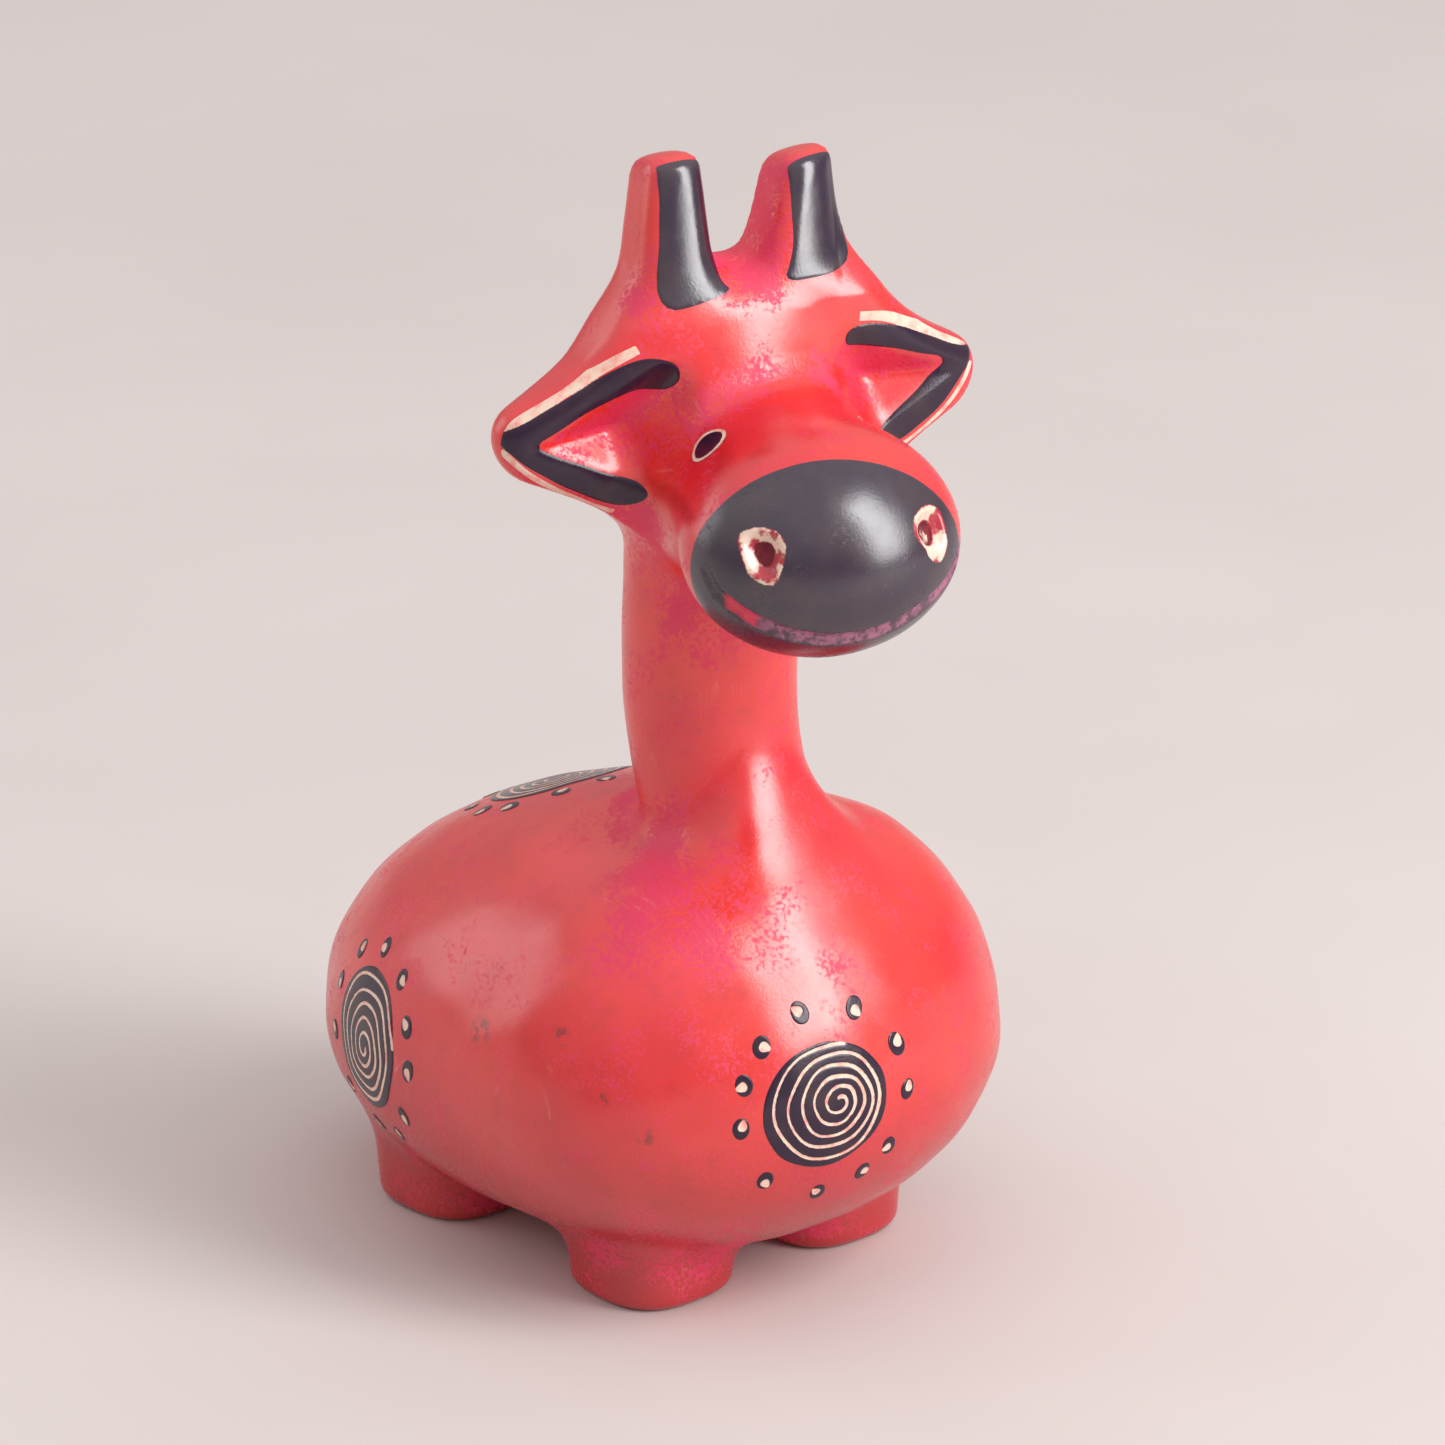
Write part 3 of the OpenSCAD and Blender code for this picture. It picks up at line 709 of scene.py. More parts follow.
BROW_DYE = 0.6
BROW_R = 0.3
BROW_BLEND = 0.5
BROW_FADE = 1.0
SMUDGES = (
    ((-24.3, -7.2, 26.1), 1.3),
    ((-23.1, -16.2, 28.1), 0.9),
    ((-22.6, -20.8, 23.5), 0.7),
    ((-20.6, -24.2, 20.6), 0.8),
)
SMUDGE_DEPTH = 1.1
HOLLOW_REACHES = (1.5, 4.0)
HOLLOW_RANGE = (0.05, 0.45)
HEAD_FLOOR = 55
EAR_FROM_X = 7.5
# Painted light: share of dye taken off ear walls that face up, so they show paler as if lit from above.
EAR_PAINTED_LIGHT = 0.75
FACING_UP = (-0.1, 0.3)
MOUTH_DYE = 0.6
# Nostril holes: dye darkened to deep red, as painted shade inside the drilling.
HOLE_DYE_AND_SHADE = 2.0
HOLE_MARGIN = 0.2
HOLE_BELOW = -0.6
NOSTRIL_NEAR = 5
BARE_NEAR = 4
PAINT_SLOPE = 3
MOUTH_CLEAR = 0.12
CORNER_FADE = 0.5
SINK_MARGIN = 0.05
RING_MARGIN = 0.15
NOWHERE = -9.0


def dye_light_and_shade_guide(p, normals):
    """More dye where the stone is hollow and in rubbed patches; below nothing where it is smudged. Ear
    walls that face up get less, as painted light; the nostril holes get the most, as dye with painted
    shade.
    """
    hollow = np.zeros(len(p))
    for reach in HOLLOW_REACHES:
        hollow = np.maximum(hollow, 1 - stone_form(p + normals * reach) / reach)
    guide = step(*HOLLOW_RANGE, hollow)
    q = in_head(p)
    head = p[:, 2] > HEAD_FLOOR
    # Painted light: ear walls that face up lose dye, so they look lit from above and the others look
    # shaded.
    facing_up = step(*FACING_UP, (normals @ HEAD_TURN)[:, 2])
    ear = head & (np.abs(q[:, 0]) > EAR_FROM_X)
    guide = np.where(ear, guide * (1 - EAR_PAINTED_LIGHT * facing_up), guide)
    for place, spots in ((p, DYE_SPOTS), (q, HEAD_DYE_SPOTS)):
        for middle, r, strength in spots:
            guide = np.maximum(guide, strength * np.exp(-((length(place - middle) / r) ** 2)))
    brow = bars(q, [(point, BROW_R) for point in BROW], BROW_BLEND)
    guide = np.maximum(guide, BROW_DYE * np.exp(-((np.maximum(brow, 0) / BROW_FADE) ** 2)))
    for middle, r in SMUDGES:
        guide -= SMUDGE_DEPTH * np.exp(-((length(p - middle) / r) ** 2))
    guide = np.where(head & (mouth_form(q) < MOUTH_NEAR), MOUTH_DYE, guide)
    # Painted shade: the inside of each nostril hole gets the deep red, beyond any dye.
    for middle, axis in zip(NOSTRILS, NOSTRIL_AXES):
        h, r = drill_place(q, middle, axis)
        hole = (length(q - middle) < NOSTRIL_NEAR) & (r < NOSTRIL_R + HOLE_MARGIN) & (h < HOLE_BELOW)
        guide = np.where(hole, HOLE_DYE_AND_SHADE, guide)
    return guide


def lip_guide(p):
    """Rubbed paint along the mouth, fading towards its right corner."""
    q = in_head(p)
    lips = (p[:, 2] > HEAD_FLOOR) & (mouth_form(q) < MOUTH_NEAR)
    return np.where(lips, step(*LIP_FADE, q[:, 0]), 0.0)


def paint_guide(p):
    """Millimetres inside the edge of the muzzle's paint; the paint also fills the right-hand end of the
    mouth groove as painted shade.
    """
    q = in_head(p)
    inside = PAINT_SLOPE * side_of(q, MUZZLE_EDGE)
    # Painted shade: the dark paint runs into the mouth groove at its right-hand end.
    shaded_corner = CORNER_FADE * (MOUTH_SHADE_X - q[:, 0])
    inside = np.minimum(inside, np.maximum(mouth_form(q) - MOUTH_CLEAR, shaded_corner))
    for middle, axis in zip(NOSTRILS, NOSTRIL_AXES):
        r = drill_place(q, middle, axis)[1]
        near = length(q - middle) < NOSTRIL_NEAR
        inside = np.where(near, np.minimum(inside, r - SINK_R + SINK_MARGIN), inside)
    return np.where(p[:, 2] > HEAD_FLOOR, inside, NOWHERE)


def bare_guide(p):
    """Millimetres inside the scraped countersinks of the nostrils."""
    q = in_head(p)
    guide = np.full(len(p), NOWHERE)
    for middle, axis in zip(NOSTRILS, NOSTRIL_AXES):
        r = drill_place(q, middle, axis)[1]
        ring = np.minimum(SINK_R + SINK_MARGIN - r, r - NOSTRIL_R - RING_MARGIN)
        near = length(q - middle) < BARE_NEAR
        guide = np.where(near, np.maximum(guide, ring), guide)
    return guide


def keep_guide(mesh, name, values):
    guide = mesh.attributes.new(name, "FLOAT", "POINT")
    guide.data.foreach_set("value", np.asarray(values, np.float32))


def finish_surface(mesh, points):
    """Smooth shading from the form itself, so that regions meet without a seam."""
    normals = unit(slope(points, stone_form))
    mesh.polygons.foreach_set("use_smooth", np.ones(len(mesh.polygons), bool))
    mesh.normals_split_custom_set_from_vertices(normals)
    return normals


def close_cut(part):
    """Fill the cut ends; skin edges that cross from rim to rim are split, so no cap edge falls on one."""
    beside = [f for f in part.faces if sum(v.is_boundary for v in f.verts) > 1]
    bmesh.ops.triangulate(part, faces=beside)
    across = [e for e in part.edges if not e.is_boundary and all(v.is_boundary for v in e.verts)]
    bmesh.ops.subdivide_edges(part, edges=across, cuts=1)
    rim = [e for e in part.edges if e.is_boundary]
    bmesh.ops.holes_fill(part, edges=rim)


def stone_pieces():
    bm = stone_skin()
    cut_regions(bm)
    regions = region_of(from_frame([f.calc_center_median() for f in bm.faces]))
    mesh = bpy.data.meshes.new("stone")
    bm.to_mesh(mesh)
    bm.free()
    pieces = {}
    for number, node in enumerate(STONE):
        part = bmesh.new()
        part.from_mesh(mesh)
        part.faces.ensure_lookup_table()
        others = [f for f, r in zip(part.faces, regions) if r != number]
        bmesh.ops.delete(part, geom=others, context="FACES")
        close_cut(part)
        piece_mesh = bpy.data.meshes.new(node + "_stone")
        part.to_mesh(piece_mesh)
        part.free()
        points = from_frame(positions(piece_mesh))
        normals = finish_surface(piece_mesh, points)
        keep_guide(piece_mesh, "dye", dye_light_and_shade_guide(points, normals))
        keep_guide(piece_mesh, "paint", paint_guide(points))
        keep_guide(piece_mesh, "lip", lip_guide(points))
        keep_guide(piece_mesh, "bare", bare_guide(points))
        pieces[node] = link(node + "_stone", piece_mesh)
    return pieces


# Paint films: flat shapes cut from a fine grid, laid on the stone and given a little thickness
FILM_LIFT = 0.08
RIM_LIFT = 0.02
FILM_DEPTH = 0.3
RIM_NUDGE = 0.01
RIM_TURNS = 3
GROOVE_EDGE = (-0.06, 0.1)
GROOVE = 0.055
LAY_TURNS = 30
LAY_SHARE = 0.9
LAY_FROM = 2
FACE_FROM_Y = -7.0


def wobble(uv, seed):
    """Unsteadiness of a brushed edge, in millimetres."""
    u, v = uv.T
    return 0.03 * np.sin(1.3 * u + 0.6 * v + seed) + 0.025 * np.sin(1.7 * v - 0.9 * u + 2.1 * seed)


def oval(uv, radii):
    return pebble(uv, 0, radii)


def near_line(uv, path):
    """Distance to a line through points, and how far along it the nearest place is."""
    best = np.full(len(uv), FAR)
    along = np.zeros(len(uv))
    for k, (a, b) in enumerate(zip(path[:-1], path[1:])):
        leg = b - a
        t = np.clip((uv - a) @ leg / (leg @ leg), 0, 1)
        gap = length(uv - a - np.outer(t, leg))
        along = np.where(gap < best, (k + t) / (len(path) - 1), along)
        best = np.minimum(best, gap)
    return best, along


def inside_outline(uv, corners):
    """Signed distance to a closed outline."""
    gap, _ = near_line(uv, np.vstack([corners, corners[:1]]))
    inside = np.zeros(len(uv), bool)
    for a, b in zip(corners, np.roll(corners, -1, axis=0)):
        spans = (a[1] > uv[:, 1]) != (b[1] > uv[:, 1])
        rise = b[1] - a[1] if b[1] != a[1] else 1e-9
        inside ^= spans & (uv[:, 0] < a[0] + (uv[:, 1] - a[1]) * (b[0] - a[0]) / rise)
    return np.where(inside, -gap, gap)


def softened(corners, closed=True):
    """Corners of an outline or line cut twice, as a brush rounds them."""
    path = np.array(corners, float)
    for _ in range(2):
        ends = np.roll(path, -1, axis=0) if closed else path[1:]
        starts = path if closed else path[:-1]
        cut = np.stack([starts * 0.75 + ends * 0.25, starts * 0.25 + ends * 0.75], axis=1).reshape(-1, 2)
        path = cut if closed else np.vstack([path[:1], cut, path[-1:]])
    return path


def laid(start, direction):
    """Points moved along one direction until they meet the stone, and the outward directions there."""
    p = start
    for _ in range(LAY_TURNS):
        p = p + np.outer(stone_form(p) * LAY_SHARE, direction)
    return p, unit(slope(p, stone_form))


def flat_on(middle, up):
    """A flat frame that touches the stone at a point, as seen from outside."""
    middle = settled([middle], stone_form)[0]
    out = unit(slope(middle[None], stone_form))[0]
    up = unit(up - out * (up @ out))
    right = np.cross(up, out)

    def lay(uv):
        flat = middle + np.outer(uv[:, 0], right) + np.outer(uv[:, 1], up)
        return laid(flat + out * LAY_FROM, -out)

    return lay


def at_depth(uv, y):
    """Places on a flat drawing of the head, at one depth in the head's own frame."""
    return np.stack([uv[:, 0], np.full(len(uv), y), uv[:, 1]], axis=1)


def front_of_head(uv):
    """From the head's own left and up onto the front of the horns and ears."""
    start = out_of_head(at_depth(uv, FACE_FROM_Y))
    return laid(start, HEAD_TURN @ np.array([0, 1.0, 0]))


def drop_corner_contacts(bm, verts):
    """Take away squares of a film that touch others only at a corner."""
    while True:
        pinched = [v for v in verts if v.is_valid and sum(e.is_boundary for e in v.link_edges) > 2]
        if not pinched:
            return
        faces = list(dict.fromkeys(f for v in pinched for f in v.link_faces))
        bmesh.ops.delete(bm, geom=faces, context="FACES")


def add_film(bm, shape, low, high, spacing, lay, bare=None, groove=0.0):
    """One film: a grid cut to shape, laid on the stone, scratched and thickened inwards."""
    marks = bm.verts.layers.float.get("bare") or bm.verts.layers.float.new("bare")
    low, high = np.array(low, float), np.array(high, float)
    across, up = (int(n) + 1 for n in (high - low) / spacing)
    verts = bmesh.ops.create_grid(bm, x_segments=across, y_segments=up, size=1.0)["verts"]
    flat = np.array([v.co[:2] for v in verts])
    flat = (flat - flat.min(axis=0)) / np.ptp(flat, axis=0) * (high - low) + low
    number = {v: k for k, v in enumerate(verts)}
    faces = list(dict.fromkeys(f for v in verts for f in v.link_faces))
    middles = np.array([flat[[number[v] for v in f.verts]].mean(axis=0) for f in faces])
    bmesh.ops.delete(bm, geom=[f for f, d in zip(faces, shape(middles)) if d > 0], context="FACES")
    drop_corner_contacts(bm, verts)
    flat = flat[[v.is_valid for v in verts]]
    verts = [v for v in verts if v.is_valid]
    top = [f for f in faces if f.is_valid]
    rim = np.array([v.is_boundary for v in verts])
    nudges = ((RIM_NUDGE, 0), (0, RIM_NUDGE))
    for _ in range(RIM_TURNS):
        d = shape(flat[rim])
        grow = np.stack([shape(flat[rim] + s) - d for s in nudges], axis=1) / RIM_NUDGE
        flat[rim] -= grow * (d / np.maximum((grow * grow).sum(axis=1), 0.2))[:, None]
    points, outward = lay(flat)
    scratched = bare(flat) if bare else np.full(len(flat), -1.0)
    lift = np.where(rim, RIM_LIFT, FILM_LIFT - groove * step(*GROOVE_EDGE, scratched))
    points += outward * lift[:, None]
    for v, point, value in zip(verts, to_frame(points), scratched):
        v.co = point
        v[marks] = value
    for f in top:
        f.smooth = True
    for e in dict.fromkeys(e for f in top for e in f.edges):
        e.smooth = not e.is_boundary
    under = bmesh.ops.extrude_face_region(bm, geom=top, use_keep_orig=True)["geom"]
    sunk = [v for v in under if isinstance(v, bmesh.types.BMVert)]
    points = from_frame([v.co for v in sunk])
    points -= unit(slope(points, stone_form)) * FILM_DEPTH
    for v, point in zip(sunk, to_frame(points)):
        v.co = point


def film_piece(node, bm):
    bmesh.ops.recalc_face_normals(bm, faces=bm.faces)
    mesh = bpy.data.meshes.new(node + "_film")
    bm.to_mesh(mesh)
    bm.free()
    return link(node + "_film", mesh)


# Discs with a spiral scratched through the paint, growing clockwise
LINE = 0.28
DISC_GRID = 0.09
DISC_MARGIN = 0.3
SPIRAL_POINTS = 420
SPIRAL_START = 0.07
SPIRAL_GROWTH = 0.93
UP = np.array([0, 0, 1.0])
TOWARDS_HEAD = np.array([0, -1.0, 0])
DISCS = {
    "chest": dict(
        radii=(6.1, 5.5), heart=(1.1, 0.2), drift=(0.2, 0.0), margin=(0.4, 0.15),
        turns=5.1, end=70, up=UP, seed=0.4,
    ),
    "right_flank": dict(
        radii=(6.0, 6.2), heart=(0.2, -0.9), drift=(0.0, -0.1), margin=(0.2, 0.25),
        turns=5.0, end=12, up=UP, seed=1.7,
    ),
    "left_flank": dict(
        radii=(6.1, 6.0), heart=(-0.6, 0.3), drift=(0.1, 0.0), margin=(0.3, 0.2),
        turns=5.0, end=100, up=UP, seed=2.9,
    ),
    "back": dict(
        radii=(6.4, 6.3), heart=(0.5, 0.6), drift=(0.0, 0.1), margin=(0.3, 0.3),
        turns=5.2, end=200, up=TOWARDS_HEAD, seed=4.2,
    ),
}


def spiral(look):
    """Points along the scratched line, from its heart to its outer end."""
    t = np.linspace(0, 1, SPIRAL_POINTS)
    angle = math.radians(look["end"]) + 2 * math.pi * look["turns"] * (1 - t)
    unsteady = 1 + 0.02 * np.sin(2.7 * angle + look["seed"]) + 0.012 * np.sin(6.1 * angle + 1.0)
    r = (SPIRAL_START + SPIRAL_GROWTH * t) * unsteady
    reach = np.array(look["radii"]) - look["margin"]
    heart = np.outer((1 - t) ** 0.8, look["heart"]) + np.outer(t, look["drift"])
    return heart + np.stack([r * np.cos(angle), r * np.sin(angle)], axis=1) * reach


def node_spot(node):
    return node_middle(node) - GROUND


def disc_film(place):
    look = DISCS[place]
    radii = np.array(look["radii"])
    path = spiral(look)

    def scratched(uv):
        gap, along = near_line(uv, path)
        half = LINE / 2 * (1 + 0.18 * np.sin(31 * along + look["seed"]) + 0.12 * np.sin(83 * along))
        return half - gap

    bm = bmesh.new()
    add_film(
        bm,
        lambda uv: oval(uv, radii) + wobble(uv, look["seed"]),
        -radii - DISC_MARGIN,
        radii + DISC_MARGIN,
        DISC_GRID,
        flat_on(node_spot(place + "_disc"), look["up"]),
        scratched,
        GROOVE,
    )
    return film_piece(place + "_disc", bm)


# Rings of dots, each with a fleck scratched out of it
DOT_RADII = (0.8, 1.0)
DOT_HALF = np.array([1.4, 1.4])
DOT_GRID = 0.08
FLECK_RADII = (0.55, 0.4)
FLECK_NARROWING = 0.45
FLECK_SHIFT = 0.33
DOT_RING = 8.3
DOT_TURNS = {
    "chest": (25, 63, 100, 132, 157, 184, 226, 269, 300, 321, 356),
    "right_flank": (1, 27, 58, 94, 130, 164, 197, 231, 263, 294, 326),
    "left_flank": (10, 46, 77, 108, 143, 176, 206, 241, 272, 306, 337),
    "back": (15, 50, 80, 112, 146, 180, 213, 247, 280, 315, 348),
}


def dots_film(place):
    bm = bmesh.new()
    for k, degrees in enumerate(DOT_TURNS[place]):
        seed = 1.3 * k + DISCS[place]["seed"]
        ring = DOT_RING * (1 + 0.03 * math.sin(4.3 * seed))
        angle = math.radians(degrees)
        around = np.array([[math.cos(angle), math.sin(angle)]]) * ring
        middle = flat_on(node_spot(place + "_disc"), DISCS[place]["up"])(around)[0][0]
        size = 1 + 0.1 * math.sin(5.1 * seed)
        radii = np.array(DOT_RADII) * size
        lean = np.array(Matrix.Rotation(0.5 * math.sin(2.3 * seed), 2))
        offset = FLECK_SHIFT * np.array([math.cos(2.9 * seed), math.sin(2.9 * seed)])
        turn = np.array(Matrix.Rotation(2.9 * seed + 0.4 * math.sin(seed), 2))

        def dot(uv, lean=lean, radii=radii, seed=seed):
            return oval(uv @ lean, radii) + 0.6 * wobble(uv * 1.6, seed)

        def fleck(uv, offset=offset, turn=turn, size=size):
            q = (uv - offset) @ turn
            narrow = 1 - FLECK_NARROWING * np.clip(q[:, 0] / FLECK_RADII[0], -1, 1)
            drop = q / np.stack([np.ones(len(q)), narrow], axis=1)
            return -oval(drop, np.array(FLECK_RADII) * size)

        lay = flat_on(middle, DISCS[place]["up"])
        add_film(bm, dot, -DOT_HALF, DOT_HALF, DOT_GRID, lay, fleck, GROOVE)
    return film_piece(place + "_dots", bm)


# Eyes: a dark leaf shape with a ring scratched near its edge
EYE_HALVES = np.array([1.85, 1.68])
EYE_POINT_R = 0.9
EYE_RING = 0.32
EYE_RING_INSET = 0.19
EYE_MARGIN = 0.2
EYE_GRID = 0.07
EYE_SHIFT = {"right": np.zeros(3), "left": np.array([1.5, 0, -1.6])}


def leaf(uv):
    """The eye's outline, rounded at its sides and pointed at its ends."""
    half_long, half_wide = EYE_HALVES - EYE_POINT_R
    r = (half_wide ** 2 + half_long ** 2) / (2 * half_wide)
    return np.hypot(uv[:, 0], np.abs(uv[:, 1]) + r - half_wide) - r - EYE_POINT_R


def eye_film(word):
    bm = bmesh.new()
    forward = HEAD_TURN @ np.array([0, -1.0, 0.05])
    add_film(
        bm,
        lambda uv: leaf(uv) + 0.3 * wobble(uv * 1.4, 0.8),
        -EYE_HALVES - EYE_MARGIN,
        EYE_HALVES + EYE_MARGIN,
        EYE_GRID,
        flat_on(node_spot(word + "_eye") + EYE_SHIFT[word], forward),
        lambda uv: EYE_RING / 2 - np.abs(leaf(uv) + EYE_RING_INSET + 0.2 * wobble(uv * 2, 2.0)),
        GROOVE,
    )
    return film_piece(word + "_eye", bm)


# Ear strokes: a V painted on the rim of each ear, with pale scraped bands along its outer edges
EAR_STROKES = {
    "right": (
        (-21.7, 1.1), (-18.7, 2.5), (-16.4, 3.7), (-14.0, 5.0), (-11.9, 6.2), (-10.0, 6.7),
        (-8.5, 6.6), (-7.2, 6.0), (-6.9, 4.4), (-7.7, 3.5), (-8.7, 3.5), (-10.3, 3.8),
        (-12.0, 3.5), (-13.7, 2.8), (-15.6, 1.9), (-17.5, 0.8), (-19.3, -0.2), (-17.5, -1.3),
        (-15.3, -2.3), (-13.2, -3.3), (-11.6, -3.8), (-10.8, -4.1), (-10.4, -4.9), (-10.9, -6.0),
        (-12.2, -6.3), (-13.6, -5.8), (-15.7, -4.8), (-17.8, -3.5), (-20.1, -1.8), (-22.2, 0.2),
    ),
    "left": (
        (21.4, 1.6), (20.3, 1.9), (17.1, 3.6), (14.2, 5.2), (11.7, 6.2), (9.6, 6.2), (8.6, 5.6),
        (8.8, 4.4), (10.4, 4.2), (12.3, 3.7), (15.6, 2.6), (19.0, 1.3), (16.3, -0.6), (13.7, -2.2),
        (12.2, -3.1), (11.4, -3.8), (12.4, -5.1), (13.9, -4.9), (15.4, -4.2), (17.4, -3.2),
        (19.6, -1.1), (21.2, 0.7),
    ),
}
EAR_BANDS = {
    "right": (
        (((-21.6, 1.3), (-18.6, 3.0), (-16.2, 4.3), (-13.9, 5.6), (-11.9, 6.8), (-10.4, 7.5)), 0.75),
        (
            ((-21.8, -0.5), (-20.3, -2.3), (-18.1, -4.0), (-15.9, -5.4), (-14.0, -6.4), (-12.6, -6.9)),
            0.5,
        ),
    ),
    "left": (
        (((10.0, 7.0), (12.4, 6.6), (14.4, 5.6), (17.7, 3.8), (21.0, 1.9)), 0.85),
        (((21.2, 0.4), (20.0, -1.5), (17.8, -3.6), (15.5, -4.9), (14.0, -5.5)), 0.45),
    ),
}
EAR_EDGE = 0.25
STROKE_GRID = 0.13
STROKE_MARGIN = 0.8
BAND_GROOVE = 0.04
BAND_OVERLAP = 0.05


def upright(uv):
    """Where places on the front of the head would be if the horns stood straight up."""
    return upright_horns(at_depth(uv, 0.0)) * (1, 0, 1)


def band_gap(uv, path, width):
    """Distance outside a band along a line, with its ends cut square."""
    gap = near_line(uv, path)[0] - width / 2
    for end, before in ((path[0], path[1]), (path[-1], path[-2])):
        gap = np.maximum(gap, (uv - end) @ unit(end - before))
    return gap


def stroke_film(word):
    outline = softened(EAR_STROKES[word])
    bands = [(softened(path, False), width) for path, width in EAR_BANDS[word]]

    def dark(uv):
        return inside_outline(uv, outline) + 0.8 * wobble(uv, 1.0)

    def pale(uv):
        gaps = [band_gap(uv, path, width) for path, width in bands]
        return np.min(gaps, axis=0) + 0.5 * wobble(uv, 3.0)

    def shape(uv):
        return np.maximum(np.minimum(dark(uv), pale(uv)), plate_outline(upright(uv)) + EAR_EDGE)

    bm = bmesh.new()
    every = np.vstack([outline] + [path for path, _ in bands])
    add_film(
        bm,
        shape,
        every.min(axis=0) - STROKE_MARGIN,
        every.max(axis=0) + STROKE_MARGIN,
        STROKE_GRID,
        front_of_head,
        lambda uv: np.minimum(-pale(uv) + BAND_OVERLAP, dark(uv)),
        BAND_GROOVE,
    )
    return film_piece(word + "_ear_strokes", bm)


# Dark fronts of the horns
HORN_PATCHES = {
    "right": (
        (-8.4, 10.4), (-7.9, 14.7), (-7.5, 18.2), (-7.2, 23.0), (-6.9, 25.0), (-3.6, 25.0),
        (-2.4, 23.0), (-2.2, 17.3), (-1.8, 13.6), (-0.9, 11.4), (-4.5, 10.7),
    ),
    "left": (
        (3.2, 11.2), (3.9, 12.8), (4.3, 14.8), (4.5, 17.5), (4.7, 21.8), (5.4, 24.0),
        (8.4, 24.0), (9.4, 21.6), (9.6, 17.5), (9.8, 14.8), (10.2, 11.6), (6.5, 11.0),
    ),
}
HORN_RIM = 0.15
HORN_GRID = 0.16
HORN_MARGIN = 1.5
PLATE_DEPTHS = np.linspace(-4, 7, 23)


def front_reach(uv):
    """How far outside the plate a line straight through the head from its front stays."""
    reach = np.full(len(uv), FAR)
    for y in PLATE_DEPTHS:
        reach = np.minimum(reach, plate_form(at_depth(uv, y)))
    return reach


def horn_film(word):
    outline = softened(HORN_PATCHES[word])

    def patch(uv):
        painted = inside_outline(upright(uv)[:, [0, 2]], outline) + wobble(uv, 0.3)
        return np.maximum(painted, front_reach(uv) + HORN_RIM)

    bm = bmesh.new()
    low, high = outline.min(axis=0) - HORN_MARGIN, outline.max(axis=0) + HORN_MARGIN
    add_film(bm, patch, low, high, HORN_GRID, front_of_head)
    return film_piece(word + "_horn_paint", bm)


# Finishes
def srgb(*levels):
    """A colour given as red, green and blue from 0 to 255."""
    shares = [level / 255 for level in levels]
    knee = 10 / 255
    return tuple(s / 12.92 if s < knee else ((s + 0.055) / 1.055) ** 2.4 for s in shares) + (1,)


class Finish:
    """A material and short ways to its nodes. Patterns are in millimetres on Object coordinates."""

    def __init__(self, name):
        self.material = bpy.data.materials.new(name)
        self.material.use_nodes = True
        self.tree = self.material.node_tree
        self.shader = self.tree.nodes["Principled BSDF"]
        self.where = self.node("ShaderNodeTexCoord").outputs["Object"]

    def node(self, kind, inputs=(), **settings):
        node = self.tree.nodes.new(kind)
        for name, value in settings.items():
            setattr(node, name, value)
        for key, value in dict(inputs).items():
            self.feed(node.inputs[key], value)
        return node

    def feed(self, socket, value):
        if isinstance(value, bpy.types.NodeSocket):
            self.tree.links.new(value, socket)
        else:
            socket.default_value = value

    def spread(self, sizes, turn=(0, 0, 0)):
        """Coordinates stretched so that one unit is this many millimetres along each axis."""
        scale = tuple(1 / (size * MM) for size in sizes)
        turn = tuple(math.radians(a) for a in turn)
        inputs = {"Vector": self.where, "Scale": scale, "Rotation": turn}
        return self.node("ShaderNodeMapping", inputs).outputs[0]

    def height(self):
        """Millimetres above the ground."""
        up = self.node("ShaderNodeSeparateXYZ", {0: self.where}).outputs["Z"]
        return self.times(up, 1 / MM)

    def noise(self, size, detail=2.0, rough=0.5, sizes=None, turn=(0, 0, 0)):
        where = self.spread(sizes or (size,) * 3, turn)
        inputs = {"Vector": where, "Scale": 1.0, "Detail": detail, "Roughness": rough}
        return self.node("ShaderNodeTexNoise", inputs).outputs[0]

    def ramp(self, value, low, high):
        inputs = {"Value": value, "From Min": low, "From Max": high}
        return self.node("ShaderNodeMapRange", inputs, interpolation_type="SMOOTHSTEP").outputs[0]

    def scaled(self, value, low, high):
        """A 0 to 1 value spread over another range."""
        inputs = {"Value": value, "To Min": low, "To Max": high}
        return self.node("ShaderNodeMapRange", inputs).outputs[0]

    def sum(self, a, b):
        return self.node("ShaderNodeMath", {0: a, 1: b}, operation="ADD").outputs[0]

    def times(self, a, b):
        return self.node("ShaderNodeMath", {0: a, 1: b}, operation="MULTIPLY").outputs[0]

    def mix(self, share, a, b):
        return self.node("ShaderNodeMix", {0: share, 6: a, 7: b}, data_type="RGBA").outputs[2]

    def guide(self, name):
        return self.node("ShaderNodeAttribute", attribute_name=name).outputs["Fac"]

    def bump(self, height, distance, under=None):
        inputs = {"Height": height, "Distance": distance * MM, "Strength": 1.0}
        if under:
            inputs["Normal"] = under
        return self.node("ShaderNodeBump", inputs).outputs[0]

    def finish(self, colour, rough, normal, polish):
        self.feed(self.shader.inputs["Base Color"], colour)
        self.feed(self.shader.inputs["Roughness"], rough)
        self.feed(self.shader.inputs["Normal"], normal)
        self.shader.inputs["IOR"].default_value = polish
        return self.material


